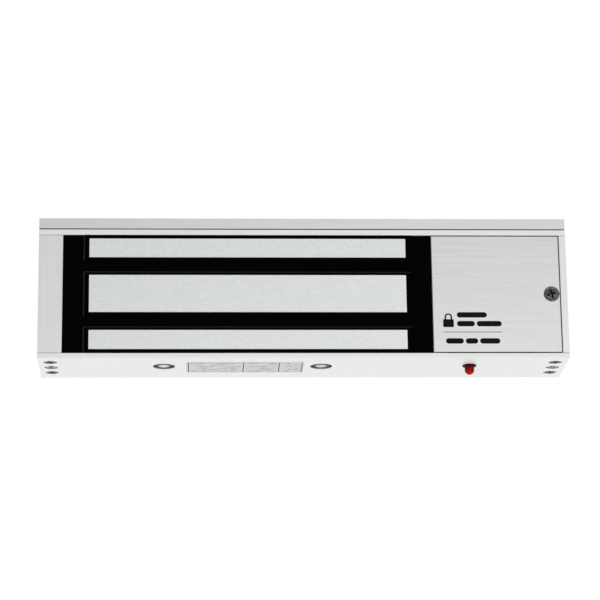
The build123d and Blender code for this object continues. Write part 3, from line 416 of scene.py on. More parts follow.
PALETTE = {
    # The last two numbers, where given, pick the faces painted dark grey as shade, and that grey.
    "plate": brushed_aluminium("brushed_plate", "X", 0.84, 0.42, 0.012, shaded_plate_base),
    "channel": brushed_aluminium("brushed_channel", "X", 0.94, 0.58, 0.012, shaded_hollow),
    # Painted shade: the cover's edges are a near-black grey, standing in for shade in the gap round
    # it.
    "cover": brushed_aluminium("brushed_cover", "X", 0.82, 0.4, 0.035, shaded_cover_edges, 0.1),
    "block": brushed_aluminium("upright_block", "Z", 0.9, 0.44, 0.03, shaded_block_joints, 0.35),
    "divider": brushed_aluminium("mill_divider", "Z", 0.62, 0.5, 0.04),
    "pole": ground_steel(),
    "potting": potting(),
    "zinc": turned_steel("zinc_plated", 0.68, 0.32, (1.0, 0.99, 0.96)),
    "bright": turned_steel("bright_screw", 0.62, 0.22),
    "socket": turned_steel("bright_socket", 0.92, 0.18),
    # Painted shade: near-black in screw recesses, round the middle end screws' rims and in the
    # capacitor's score lines.
    "recess": black_oxide("recess_shade", 0.05),
    "tin": turned_steel("tin_plated", 0.8, 0.24),
    "black_steel": black_oxide("black_oxide", 0.03),
    "dark_screw": black_oxide("dark_zinc", 0.12, 0.3, 1300.0),
    "nylon": moulded("natural_nylon", (0.78, 0.75, 0.66), 0.45),
    "black_plastic": moulded("black_plastic", grey(0.002), 0.38, gloss=0.1),
    "rubber": moulded("black_rubber", grey(0.018), 0.62, 900.0, 0.00002),
    "lens": red_lens(),
    "label": label_film(),
    "ink": print_ink("black_ink", grey(0.004)),
    "grey_ink": print_ink("grey_ink", grey(0.2)),
    "white_ink": print_ink("white_ink", grey(0.78)),
    "copper": wound_copper(),
    "tape": moulded("polyester_tape", (0.7, 0.5, 0.1), 0.3, 400.0),
    "mask": moulded("solder_mask", (0.008, 0.1, 0.04), 0.24, 500.0),
    "track": moulded("masked_track", (0.02, 0.21, 0.08), 0.24, 900.0),
    "solder": turned_steel("solder", 0.74, 0.26),
    "terminal": moulded("terminal_green", (0.02, 0.24, 0.08), 0.4),
    "relay": moulded("relay_blue", (0.02, 0.09, 0.3), 0.33),
    "sleeve": moulded("capacitor_sleeve", (0.012, 0.015, 0.05), 0.25),
    "varistor": moulded("varistor_coat", (0.03, 0.12, 0.4), 0.35, 700.0, 0.00004),
    "diode": moulded("diode_body", grey(0.015), 0.42),
    "resistor": moulded("resistor_body", (0.62, 0.47, 0.27), 0.36),
    "brown": moulded("brown_band", (0.1, 0.03, 0.01), 0.4),
    "red_band": moulded("red_band", (0.5, 0.01, 0.01), 0.4),
    "gold": turned_steel("gold_band", 0.75, 0.3, (1.0, 0.74, 0.32)),
    "glass": moulded("sensor_glass", (0.3, 0.45, 0.33), 0.1),
    "red_wire": moulded("red_insulation", (0.45, 0.012, 0.012), 0.35),
    "black_wire": moulded("black_insulation", grey(0.012), 0.35),
    "yellow_wire": moulded("yellow_insulation", (0.7, 0.48, 0.02), 0.35),
}

NODES_BY_FINISH = {
    "plate": "mounting_plate",
    "zinc": "plate_thread_inserts core_rivets board_standoffs board_screws lamp_nut "
            "cover_studs bolt_washer_left bolt_washer_right",
    "channel": "housing_channel", "block": "end_block_left end_block_right",
    "pole": "core_laminations", "nylon": "coil_bobbin stud_sockets cover_screw_retainer",
    "copper": "coil_winding", "tape": "coil_tape", "potting": "potting_compound",
    "glass": "bond_sensor", "yellow_wire": "sensor_leads", "red_wire": "coil_lead_red lamp_leads",
    "black_wire": "coil_lead_black", "divider": "compartment_divider",
    "rubber": "divider_grommet cable_grommet", "mask": "circuit_board",
    "terminal": "terminal_block_housing", "tin": "terminal_contacts relay_pins jumper_pins",
    "relay": "relay_case", "sleeve": "capacitor", "varistor": "varistor", "diode": "diodes",
    "resistor": "resistors", "black_plastic": "jumper_header voltage_jumper lamp_bezel",
    "lens": "lamp_lens", "label": "rating_label", "cover": "cover_plate",
    "dark_screw": "cover_screw", "bright": "end_screws_left end_screws_right",
    "black_steel": "mounting_bolt_left mounting_bolt_right",
}

# The width of the broken edge of each piece that has one
EDGE_BREAK = {
    "mounting_plate": 0.00022, "housing_channel": 0.0003, "cover_plate": 0.00018,
    "end_block_left": 0.00025, "end_block_right": 0.00025, "core_laminations": 0.00018,
    "relay_case": 0.00035, "terminal_block_housing": 0.00018,
    "compartment_divider": 0.0002, "circuit_board": 0.0001, "voltage_jumper": 0.00018,
    "jumper_header": 0.00012, "lamp_nut": 0.0002,
}


def finish_node(name, finish):
    """Gives a CAD node its material and breaks its sharp edges."""
    piece = nodes[name]
    piece.data.materials.clear()
    piece.data.materials.append(PALETTE[finish])
    if name not in EDGE_BREAK:
        return
    weld = piece.modifiers.new("weld", "WELD")
    weld.merge_threshold = 0.000001
    planar = piece.modifiers.new("planar", "DECIMATE")
    planar.decimate_type = "DISSOLVE"
    planar.angle_limit = radians(0.2)
    bevel = piece.modifiers.new("edges", "BEVEL")
    bevel.width = EDGE_BREAK[name]
    bevel.segments = 3
    bevel.limit_method = "ANGLE"
    bevel.angle_limit = radians(40)
    weighted = piece.modifiers.new("flat_faces", "WEIGHTED_NORMAL")
    weighted.weight = 100
    weighted.keep_sharp = False


for node_finish, node_names in NODES_BY_FINISH.items():
    for node_name in node_names.split():
        finish_node(node_name, node_finish)
for number in range(1, 6):
    finish_node(f"terminal_screw_{number}", "zinc")
    finish_node(f"terminal_clamp_{number}", "tin")


# ---- mesh helpers

def new_piece(name, skin, finish, body, smooth_angle=35, other=None, other_faces=()):
    """A mesh object that rides on a body, with a second material on some of its faces."""
    mesh = bpy.data.meshes.new(name)
    mesh.from_pydata([tuple(v) for v in skin[0]], [], skin[1])
    mesh.materials.append(PALETTE[finish])
    if other:
        mesh.materials.append(PALETTE[other])
        for index in other_faces:
            mesh.polygons[index].material_index = 1
    mesh.shade_smooth()
    mesh.set_sharp_from_angle(angle=radians(smooth_angle))
    piece = bpy.data.objects.new(name, mesh)
    bpy.context.scene.collection.objects.link(piece)
    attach(piece, body)
    return piece


def ring_points(rings, segments):
    """Vertices of (height, radius) rings round Z. A radius is a number or a function of angle."""
    points = []
    for height, radius in rings:
        for step in range(segments):
            angle = 2 * pi * step / segments
            reach = radius(angle) if callable(radius) else radius
            points.append(Vector((reach * cos(angle), reach * sin(angle), height)))
    return points


def ring_faces(low, high, segments):
    """Faces between two rings, from the first vertex of each."""
    faces = []
    for step in range(segments):
        after = (step + 1) % segments
        faces.append((low + step, low + after, high + after, high + step))
    return faces


def ring_stack(rings, segments):
    """A closed skin through rings, the first and the last of them closed on the axis."""
    verts = ring_points(rings, segments)
    faces = []
    for row in range(len(rings) - 1):
        faces += ring_faces(row * segments, (row + 1) * segments, segments)
    for row, flip in ((0, True), (len(rings) - 1, False)):
        centre = len(verts)
        verts.append(Vector((0, 0, rings[row][0])))
        for step in range(segments):
            pair = (row * segments + step, row * segments + (step + 1) % segments)
            faces.append((centre, *(reversed(pair) if flip else pair)))
    return verts, faces


def lathe(profile, segments=64):
    """A closed skin turned round Z from a closed (height, radius) outline with a bore."""
    count = len(profile)
    faces = []
    for row in range(count):
        faces += ring_faces(row * segments, (row + 1) % count * segments, segments)
    return ring_points(profile, segments), faces


def arc(centre_height, centre_radius, radius, start, end, steps=6):
    """Points of an outline round a corner, from one angle to another, in degrees."""
    points = []
    for step in range(steps + 1):
        angle = radians(start + (end - start) * step / steps)
        points.append((centre_height + radius * sin(angle), centre_radius + radius * cos(angle)))
    return points


def box_skin(low, high):
    """Vertices and faces of a box between two corners."""
    verts = [Vector((x, y, z)) for x in (low[0], high[0]) for y in (low[1], high[1])
             for z in (low[2], high[2])]
    faces = [(0, 1, 3, 2), (4, 6, 7, 5), (0, 4, 5, 1), (2, 3, 7, 6), (0, 2, 6, 4), (1, 5, 7, 3)]
    return verts, faces


def joined(parts):
    """Several skins as one, each put in its place by a matrix."""
    verts, faces = [], []
    for (part_verts, part_faces), matrix in parts:
        start = len(verts)
        verts += [matrix @ v for v in part_verts]
        faces += [tuple(start + index for index in face) for face in part_faces]
    return verts, faces


HERE = Matrix.Identity(4)
TO_FRONT = Matrix.Rotation(pi / 2, 4, "X")
TO_UNDERSIDE = Matrix.Rotation(pi, 4, "X")
TO_RIGHT = Matrix.Rotation(pi / 2, 4, "Y")


def at(x, y, z):
    return Matrix.Translation((x, y, z))


# ---- screw shapes

# A thread's depth to its pitch, and how steeply its flanks fall
THREAD_DEPTH = 0.54
THREAD_FLANK = 1.6

# The rows of rings in a screw's recess and round a screw's rim, painted dark as shade, and in a
# bolt's socket
RECESS_SHADE_ROWS = (0, 1, 2)
RIM_SHADE_ROWS = (5, 6, 7)
SOCKET_ROWS = 3

END_SCREW_SEGMENTS = 64
COVER_SCREW_SEGMENTS = 128
BOLT_SEGMENTS = 144


def cross_outline(half_length, half_width):
    """The radius of a four-armed recess at each angle."""
    def radius(angle):
        turn = abs((angle + pi / 4) % (pi / 2) - pi / 4)
        if tan(turn) < half_width / half_length:
            return half_length / cos(turn)
        return half_width / sin(turn)
    return radius


def hex_outline(half_flats):
    """The radius of a hexagonal socket at each angle."""
    def radius(angle):
        return half_flats / cos((angle + pi / 6) % (pi / 3) - pi / 6)
    return radius


def thread_rings(radius, pitch, start, end, steps=8):
    """Rings that carry a V thread down from start to end."""
    depth = THREAD_DEPTH * pitch
    count = ceil((start - end) / pitch * steps)

    def crest(height):
        def reach(angle):
            phase = (height / pitch + angle / (2 * pi)) % 1.0
            return radius - depth * min(1.0, THREAD_FLANK * abs(2 * phase - 1))
        return reach
    heights = [start - pitch * step / steps for step in range(1, count)]
    return [(height, crest(height)) for height in heights]


def cross_head_rings(head_radius, recess, depth, ridges):
    """From the recess's floor up to the head's rim, with turning marks round its face."""
    rings = [
        (-depth, cross_outline(recess * 0.3, recess * 0.12)),
        (-depth * 0.86, cross_outline(recess * 0.52, recess * 0.16)),
        (-depth * 0.1, cross_outline(recess * 0.96, recess * 0.23)),
        (0.0, cross_outline(recess * 1.04, recess * 0.27)),
    ]
    first = recess * 1.1
    last = head_radius * 0.93
    groove = 0.00005
    for step in range(2 * ridges + 1):
        share = step / max(2 * ridges, 1)
        rings.append((-groove * (step % 2), first + (last - first) * share))
    rings.append((-0.00003, head_radius * 0.965))
    rings.append((-0.00012, head_radius))
    return rings


def flat_head_skin(head_radius, shank_radius, pitch, length, segments, ridges):
    """A flat-head screw along -Z, its face at the origin."""
    taper = (head_radius - shank_radius) / tan(radians(41))
    rings = cross_head_rings(head_radius, head_radius * 0.56, taper * 0.85, ridges)
    rings.append((-taper, shank_radius))
    rings += thread_rings(shank_radius, pitch, -taper - pitch * 0.4, -length + pitch)
    rings.append((-length + pitch * 0.5, shank_radius * 0.86))
    rings.append((-length, shank_radius * 0.62))
    return ring_stack(rings, segments)


def socket_bolt_skin(head_radius, length):
    """A 1/4-20 socket head bolt along -Z, its head's face at the origin and a knurl round it."""
    head_height = 0.00635
    socket, depth = 0.00238, 0.0032
    shank_radius, pitch, threaded = 0.003175, 0.00127, 0.0254

    def knurl(angle):
        return head_radius - 0.0001 * abs(sin(angle * 24))

    rings = [
        (-depth - 0.0009, 0.0002),
        (-depth, hex_outline(socket * 0.98)),
        (-0.0003, hex_outline(socket)),
        (0.0, hex_outline(socket * 1.07)),
        (0.0, head_radius * 0.86),
        (-0.00012, head_radius * 0.93),
        (-0.0005, head_radius - 0.00012),
        (-0.0008, knurl),
        (-head_height + 0.0008, knurl),
        (-head_height + 0.0005, head_radius - 0.00012),
        (-head_height, head_radius - 0.0003),
        (-head_height, shank_radius * 1.06),
        (-head_height - 0.0004, shank_radius * 0.985),
        (threaded - length, shank_radius * 0.985),
    ]
    rings += thread_rings(shank_radius, pitch, threaded - length, pitch - length)
    rings.append((pitch * 0.5 - length, shank_radius * 0.86))
    rings.append((-length, shank_radius * 0.7))
    return ring_stack(rings, BOLT_SEGMENTS)


# ---- screws and bolts

def make_end_screws(side, start_turn):
    """Six flat-head screws in one end block: dark outer rows, a bright and deeper middle row, each
    recess and the middle row's rims painted dark as shade.
    """
    node = f"end_screws_{side}"
    low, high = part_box(node)
    head, shank, pitch, length = 0.0034, 0.0017, 0.000794, 0.0121
    hole = 0.00365
    x = (low.x + high.x) / 2
    rows = (low.y + hole, (low.y + high.y) / 2, high.y - hole)
    screw = flat_head_skin(head, shank, pitch, length, END_SCREW_SEGMENTS, 1)
    kinds = (
        ("dark_screw", (0, 2), 0.0003, RECESS_SHADE_ROWS),
        ("bright", (1,), 0.00055, RECESS_SHADE_ROWS + RIM_SHADE_ROWS),
    )
    for finish, chosen, sunk, shaded_rows in kinds:
        parts = []
        for index in chosen:
            turn = Matrix.Rotation(0.35 + 0.8 * index + start_turn, 4, "Z")
            parts.append((screw, at(x, rows[index], low.z + sunk) @ TO_UNDERSIDE @ turn))
            parts.append((screw, at(x, rows[index], high.z - sunk) @ turn))
        skin = joined(parts)
        dark = [part * len(screw[1]) + row * END_SCREW_SEGMENTS + step for part in range(len(parts))
                for row in shaded_rows for step in range(END_SCREW_SEGMENTS)]
        piece = new_piece(f"{node}_{finish}", skin, finish, "lock",
                          other="recess", other_faces=dark)
        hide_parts(node)


def make_cover_screw():
    """The cover's captive screw, its recess a little turned and painted dark as shade."""
    low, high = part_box("cover_screw")
    centre = (low + high) / 2
    shank, pitch = 0.00205, 0.00079375
    skin = flat_head_skin((high.x - low.x) / 2, shank, pitch, high.y - low.y,
                          COVER_SCREW_SEGMENTS, 3)
    place = at(centre.x, low.y, centre.z) @ TO_FRONT @ Matrix.Rotation(radians(17), 4, "Z")
    skin = joined([(skin, place)])
    piece = new_piece("cover_screw_threaded", skin, "dark_screw", "turning_screw", 20,
                      "recess", range(len(RECESS_SHADE_ROWS) * COVER_SCREW_SEGMENTS))
    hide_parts("cover_screw")


def make_bolt(side, turn):
    """A through bolt, its socket at a turn of its own."""
    node = f"mounting_bolt_{side}"
    low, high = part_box(node)
    centre = (low + high) / 2
    skin = socket_bolt_skin((high.x - low.x) / 2, high.z - low.z)
    place = at(centre.x, centre.y, low.z) @ TO_UNDERSIDE @ Matrix.Rotation(turn, 4, "Z")
    skin = joined([(skin, place)])
    piece = new_piece(f"{node}_threaded", skin, "black_steel", f"{side}_bolt", 35,
                      "socket", range(SOCKET_ROWS * BOLT_SEGMENTS))
    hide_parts(node)


make_end_screws("left", 0.0)
make_end_screws("right", 1.3)
make_cover_screw()
make_bolt("left", radians(3))
make_bolt("right", radians(-5))


# ---- indicator lamp

def make_lamp():
    """The domed red lens in a rounded black bezel with its thread behind."""
    low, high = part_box("lamp_lens")
    x, y = (low.x + high.x) / 2, (low.y + high.y) / 2
    radius = (high.x - low.x) / 2
    place = at(x, y, low.z) @ TO_UNDERSIDE
    length = high.z - low.z
    rings = []
    dome_steps = 14
    for step in range(dome_steps):
        angle = pi / 2 * (step + 0.4) / dome_steps
        rings.append((-radius + radius * cos(angle), radius * sin(angle)))
    rings.append((-radius, radius))
    rings.append((-length, radius))
    skin = joined([(ring_stack(rings, 64), place)])
    lens = new_piece("lamp_lens_turned", skin, "lens", "lock", 60)
    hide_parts("lamp_lens")

    low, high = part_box("lamp_bezel")
    flange = (high.x - low.x) / 2
    bore = radius + 0.00004
    barrel = 0.003
    thick = 0.0006
    edge = 0.0003
    ridge, ridge_step = 0.00018, 0.0006
    outline = [(0.0, bore), (0.0, flange - edge)]
    outline += arc(-edge, flange - edge, edge, 90, 0)
    outline += [(-thick, flange), (-thick, barrel)]
    for step in range(12):
        outline.append((-thick - ridge_step * (step + 0.5), barrel - ridge * (step % 2)))
    outline += [(low.z - high.z, barrel - 0.0002), (low.z - high.z, bore)]
    skin = joined([(lathe(outline[::-1]), at(x, y, low.z) @ TO_UNDERSIDE)])
    bezel = new_piece("lamp_bezel_turned", skin, "black_plastic", "lock")
    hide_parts("lamp_bezel")


make_lamp()


# ---- grommets

def grommet_outline(bore, neck, lip, lip_thick, length, both_lips):
    """A rubber grommet from height 0 down, its lips fully rounded and its bore flared."""
    soft = lip_thick / 2
    points = [(-soft, bore)]
    points += arc(-soft, lip - soft, soft * 0.98, 90, -90, 8)
    points.append((-lip_thick, neck))
    if both_lips:
        points.append((-length + lip_thick, neck))
        points += arc(-length + soft, lip - soft, soft * 0.98, 90, -90, 8)
        points.append((-length + soft, bore))
    else:
        points += [(-length, neck), (-length, bore)]
    points.append((-length / 2, bore - 0.00001))
    return points[::-1]


def make_grommets():
    """The cable's grommet in the roof and the leads' grommet in the divider."""
    low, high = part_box("cable_grommet")
    centre = (low + high) / 2
    outline = grommet_outline(0.00635, 0.00795, (high.x - low.x) / 2, 0.0016, high.z - low.z, True)
    skin = joined([(lathe(outline, 96), at(centre.x, centre.y, high.z))])
    piece = new_piece("cable_grommet_rounded", skin, "rubber", "lock")
    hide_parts("cable_grommet")
    low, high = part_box("divider_grommet")
    centre = (low + high) / 2
    outline = grommet_outline(0.0025, 0.0034, (high.y - low.y) / 2, 0.0012, high.x - low.x, False)
    skin = joined([(lathe(outline, 64), at(high.x, centre.y, centre.z) @ TO_RIGHT)])
    piece = new_piece("divider_grommet_rounded", skin, "rubber", "lock")
    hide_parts("divider_grommet")


make_grommets()


# ---- circuit board detail

board_low, board_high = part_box("circuit_board")
FACE_Y = board_low.y
TRACK_THICK = 0.00004
PRINT_THICK = 0.00002
RESISTOR_RADIUS = 0.00115
DIODE_RADIUS = 0.00135
DIODE_SPAN = 0.0089
LEG_INSET = 0.00035
COIL_LEAD_RADIUS = 0.0007
SENSOR_LEAD_RADIUS = 0.0005
LAMP_LEAD_RADIUS = 0.0006
VARISTOR_SPREAD = 0.0025
TERMINAL_PITCH = 0.00508
TERMINAL_WALL = 0.0006


def resistor_rows():
    """The height of each resistor's axis."""
    low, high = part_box("resistors")
    span = high.z - low.z - 2 * RESISTOR_RADIUS
    return [low.z + RESISTOR_RADIUS + span * row / 2 for row in range(3)]


def terminal_columns():
    """The middle of each terminal."""
    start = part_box("terminal_block_housing")[0].x + TERMINAL_WALL
    return [start + TERMINAL_PITCH * (index + 0.5) for index in range(5)]


def board_bars(name, rectangles, thick, finish):
    """Flat bars standing a little proud of the board, each (x0, x1, z0, z1)."""
    parts = []
    for x0, x1, z0, z1 in rectangles:
        parts.append((box_skin((x0, FACE_Y - thick, z0), (x1, FACE_Y, z1)), HERE))
    skin = joined(parts)
    piece = new_piece(name, skin, finish, "lock")


def outline_bars(low, high, gap, line):
    """Four bars round a component's place on the board."""
    x0, x1, z0, z1 = low.x - gap, high.x + gap, low.z - gap, high.z + gap
    return [(x0, x1, z0 - line, z0), (x0, x1, z1, z1 + line),
            (x0 - line, x0, z0, z1), (x1, x1 + line, z0, z1)]


def lead_feet():
    """Where wires and component legs meet the board, as (x, z)."""
    feet = []
    low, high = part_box("resistors")
    for z in resistor_rows():
        feet += [(low.x + LEG_INSET, z), (high.x - LEG_INSET, z)]
    low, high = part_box("diodes")
    for z in (low.z + DIODE_RADIUS, high.z - DIODE_RADIUS):
        feet += [(low.x + LEG_INSET, z), (low.x + DIODE_SPAN - LEG_INSET, z)]
        feet += [(high.x - DIODE_SPAN + LEG_INSET, z), (high.x - LEG_INSET, z)]
    for node in ("coil_lead_red", "coil_lead_black"):
        low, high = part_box(node)
        feet.append((high.x - COIL_LEAD_RADIUS, (low.z + high.z) / 2))
    low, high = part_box("sensor_leads")
    for z in (low.z + SENSOR_LEAD_RADIUS, high.z - SENSOR_LEAD_RADIUS):
        feet.append((high.x - SENSOR_LEAD_RADIUS, z))
    low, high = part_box("lamp_leads")
    for x in (low.x + LAMP_LEAD_RADIUS, high.x - LAMP_LEAD_RADIUS):
        feet.append((x, high.z - LAMP_LEAD_RADIUS))
    low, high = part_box("varistor")
    x, z = (low.x + high.x) / 2, (low.z + high.z) / 2
    feet += [(x - VARISTOR_SPREAD, z), (x + VARISTOR_SPREAD, z)]
    return feet


def make_solder():
    """A tinned pad and a small fillet of solder at the foot of each lead."""
    rings = [(0.0, 0.0011), (0.00005, 0.0011), (0.00007, 0.00085), (0.00022, 0.00062),
             (0.00042, 0.00048), (0.0005, 0.0004)]
    skin = ring_stack(rings, 24)
    skin = joined([(skin, at(x, FACE_Y, z) @ TO_FRONT) for x, z in lead_feet()])
    piece = new_piece("board_solder", skin, "solder", "lock", 50)


def make_tracks():
    """Copper tracks under the mask: up from the terminals, across, and on to each foot."""
    wide, narrow = 0.0009, 0.0005
    first_lane, lane_step = 0.0007, 0.001
    first_end, end_step = 0.0212, 0.0016
    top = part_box("terminal_block_housing")[1].z
    bars = []
    for index, x in enumerate(terminal_columns()):
        lane = top + first_lane + lane_step * index
        half = (wide if index < 2 else narrow) / 2
        end = board_low.x + first_end + end_step * index
        bars.append((x - half, x + half, top - 0.0013, lane + half))
        bars.append((end - half, x - half, lane - half, lane + half))
        bars.append((end - half, end + half, lane + half, board_high.z - 0.0024 - 0.0012 * index))
    for x, z in lead_feet():
        bars.append((x - narrow / 2, x + narrow / 2, z + 0.0008, z + 0.0026))
    left, right = board_low.x + 0.0085, board_high.x - 0.0085
    edge = board_high.z - 0.0016
    bars.append((left, right, edge - wide / 2, edge + wide / 2))
    bars.append((left, right, board_low.z + 0.0012, board_low.z + 0.0021))
    board_bars("board_tracks", bars, TRACK_THICK, "track")


def make_board_print():
    """White outlines round the components, and short bars in place of their legends."""
    line, gap = 0.00018, 0.0005
    bars = []
    for node in ("relay_case", "terminal_block_housing", "jumper_header"):
        bars += outline_bars(*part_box(node), gap, line)
    low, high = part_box("resistors")
    for z in resistor_rows():
        start, end = Vector((low.x + 0.002, 0, z - 0.0011)), Vector((high.x - 0.002, 0, z + 0.0011))
        bars += outline_bars(start, end, 0, line)
        bars.append((high.x + 0.0014, high.x + 0.0026, z - 0.0004, z + 0.0004))
    low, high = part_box("terminal_block_housing")
    for x in terminal_columns():
        bars.append((x - 0.0011, x + 0.0011, low.z - 0.0024, low.z - 0.0014))
        bars.append((x - 0.0007, x + 0.0007, low.z - 0.0034, low.z - 0.0029))
    low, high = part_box("jumper_header")
    for side in (low.x, high.x):
        bars.append((side - 0.0009, side + 0.0009, low.z - 0.0022, low.z - 0.0014))
    low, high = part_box("diodes")
    bars.append((low.x + 0.0026, low.x + 0.0044, high.z + 0.0006, high.z + 0.0013))
    board_bars("board_print", bars, PRINT_THICK, "white_ink")


def band_rings(name, places, radius, width, finish):
    """Painted bands round components that lie along X, each (x, y, z)."""
    inner, outer = radius - 0.0001, radius + 0.00004
    outline = [(0.0, inner), (0.0, outer), (width, outer), (width, inner)]
    parts = [(lathe(outline[::-1], 40), at(x, y, z) @ TO_RIGHT) for x, y, z in places]
    skin = joined(parts)
    piece = new_piece(name, skin, finish, "lock")


def make_bands():
    """Value bands on the resistors and a cathode band on each diode."""
    low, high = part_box("resistors")
    middle = (low.x + high.x) / 2
    colours = (
        ("brown", -0.002, "resistor_body"), ("ink", -0.001, "diode_body"),
        ("red_band", 0.0, "red_insulation"), ("gold", 0.0017, "resistor_body"),
    )
    for finish, offset, slot_name in colours:
        x = middle + offset - 0.0003
        places = [(x, low.y + RESISTOR_RADIUS, z) for z in resistor_rows()]
        band_rings(f"resistor_band_{finish}", places, RESISTOR_RADIUS, 0.0006, finish)
    low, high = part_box("diodes")
    y = low.y + DIODE_RADIUS
    places = []
    for centre in (low.x + DIODE_SPAN / 2, high.x - DIODE_SPAN / 2):
        for z in (low.z + DIODE_RADIUS, high.z - DIODE_RADIUS):
            places.append((centre + 0.0013, y, z))
    band_rings("diode_bands", places, DIODE_RADIUS, 0.0007, "tin")


def make_capacitor():
    """A sleeved can with a rolled groove, a bare scored top whose score lines are painted dark as
    shade, and a stripe down one side.
    """
    low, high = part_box("capacitor")
    radius = (high.x - low.x) / 2
    x, z = (low.x + high.x) / 2, (low.z + high.z) / 2
    height = high.y - low.y
    place = at(x, high.y, z) @ TO_FRONT
    rings = [(0.0, radius * 0.9), (0.0003, radius), (0.0019, radius), (0.0021, radius * 0.94),
             (0.0024, radius * 0.925), (0.0027, radius * 0.94), (0.0029, radius)]
    rings += [(height - 0.0005, radius), (height - 0.0002, radius * 0.985), (height, radius * 0.93),
              (height, radius * 0.86), (height - 0.0002, radius * 0.84)]
    skin = joined([(ring_stack(rings, 72), place)])
    piece = new_piece("capacitor_sleeved", skin, "sleeve", "lock")
    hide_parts("capacitor")
    top = [(height - 0.0006, radius * 0.83), (height - 0.00012, radius * 0.83),
           (height - 0.00008, radius * 0.8)]
    skin = joined([(ring_stack(top, 48), place)])
    lid = new_piece("capacitor_lid", skin, "tin", "lock")
    # Painted shade: two dark bars stand in for the shade in the top's score lines.
    reach, half = radius * 0.6, 0.000175
    face, depth = low.y, low.y + 0.0001
    marks = [((x - reach, face, z - half), (x + reach, depth, z + half)),
             ((x - half, face, z - reach), (x + half, depth, z + reach))]
    skin = joined([(box_skin(a, b), HERE) for a, b in marks])
    score_shade = new_piece("capacitor_score_shade", skin, "recess", "lock")
    verts, faces = [], []
    steps = 8
    reach = radius + PRINT_THICK
    for step in range(steps + 1):
        angle = radians(150 + 50 * step / steps)
        for depth in (0.0034, height - 0.0007):
            verts.append(Vector((x + reach * cos(angle), high.y - depth, z + reach * sin(angle))))
    for step in range(steps):
        a = step * 2
        faces.append((a, a + 1, a + 3, a + 2))
    stripe = new_piece("capacitor_stripe", (verts, faces), "white_ink", "lock")


def make_relay_marks():
    """Plain printed bars on the relay's face."""
    low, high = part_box("relay_case")
    y = low.y
    parts = []
    for row in range(4):
        z = high.z - 0.0034 - 0.0024 * row
        reach = low.x + 0.0022
        for step in range(3):
            length = 0.0026 + 0.0011 * ((row + 2 * step) % 3)
            bar = box_skin((reach, y - PRINT_THICK, z), (reach + length, y, z + 0.001))
            parts.append((bar, HERE))
            reach += length + 0.0008
    skin = joined(parts)
    piece = new_piece("relay_print", skin, "white_ink", "lock")


make_solder()
make_tracks()
make_board_print()
make_bands()
make_capacitor()
make_relay_marks()


# ---- printed matter

INK_LIFT = 0.00001


def label_bars(name, rectangles, z, finish):
    """Thin bars printed on the underside, each (x0, x1, y0, y1)."""
    verts, faces = [], []
    for x0, x1, y0, y1 in rectangles:
        start = len(verts)
        verts += [(x0, y0, z), (x1, y0, z), (x1, y1, z), (x0, y1, z)]
        faces.append((start + 3, start + 2, start + 1, start))
    return new_piece(name, (verts, faces), finish, "lock")


def make_label_print():
    """Rules and short plain bars in place of the label's lines of print."""
    low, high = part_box("rating_label")
    ink = low.z - INK_LIFT
    margin = 0.001
    rule = 0.00022
    hairline = 0.00008
    left, right = low.x + margin, high.x - margin
    front, back = low.y + margin, high.y - margin
    edges = [left + (right - left) * fraction for fraction in (0.0, 0.485, 0.8, 1.0)]
    rules = [(x - rule, x + rule, front, back) for x in edges]
    rules += [(left, right, v - hairline, v + hairline) for v in (front, back)]
    piece = label_bars("label_rules", rules, ink, "ink")
    marks = []
    rows = 6
    pitch = (back - front) / rows
    for cell in range(3):
        start, end = edges[cell] + 0.0014, edges[cell + 1] - 0.0014
        for row in range(rows):
            v = front + pitch * (row + 0.5)
            reach = start + 0.0007 * ((3 * row + cell) % 5)
            step = 0
            while reach < end - 0.0012:
                word = 0.001 + 0.0008 * ((7 * row + 5 * step + 3 * cell) % 4)
                stop = min(reach + word, end)
                if (2 * row + step + cell) % 5 < 3:
                    marks.append((reach, stop, v - pitch * 0.12, v + pitch * 0.12))
                reach = stop + 0.0006
                step += 1
    piece = label_bars("label_print", marks, ink, "grey_ink")


def rounded_bar(x0, x1, z0, z1, steps=14):
    """The outline of a bar with half-round ends, in the XZ plane."""
    radius = (z1 - z0) / 2
    middle = (z0 + z1) / 2
    points = []
    for centre, start in ((x1 - radius, -90), (x0 + radius, 90)):
        for step in range(steps + 1):
            angle = radians(start + 180 * step / steps)
            points.append((centre + radius * cos(angle), middle + radius * sin(angle)))
    return points


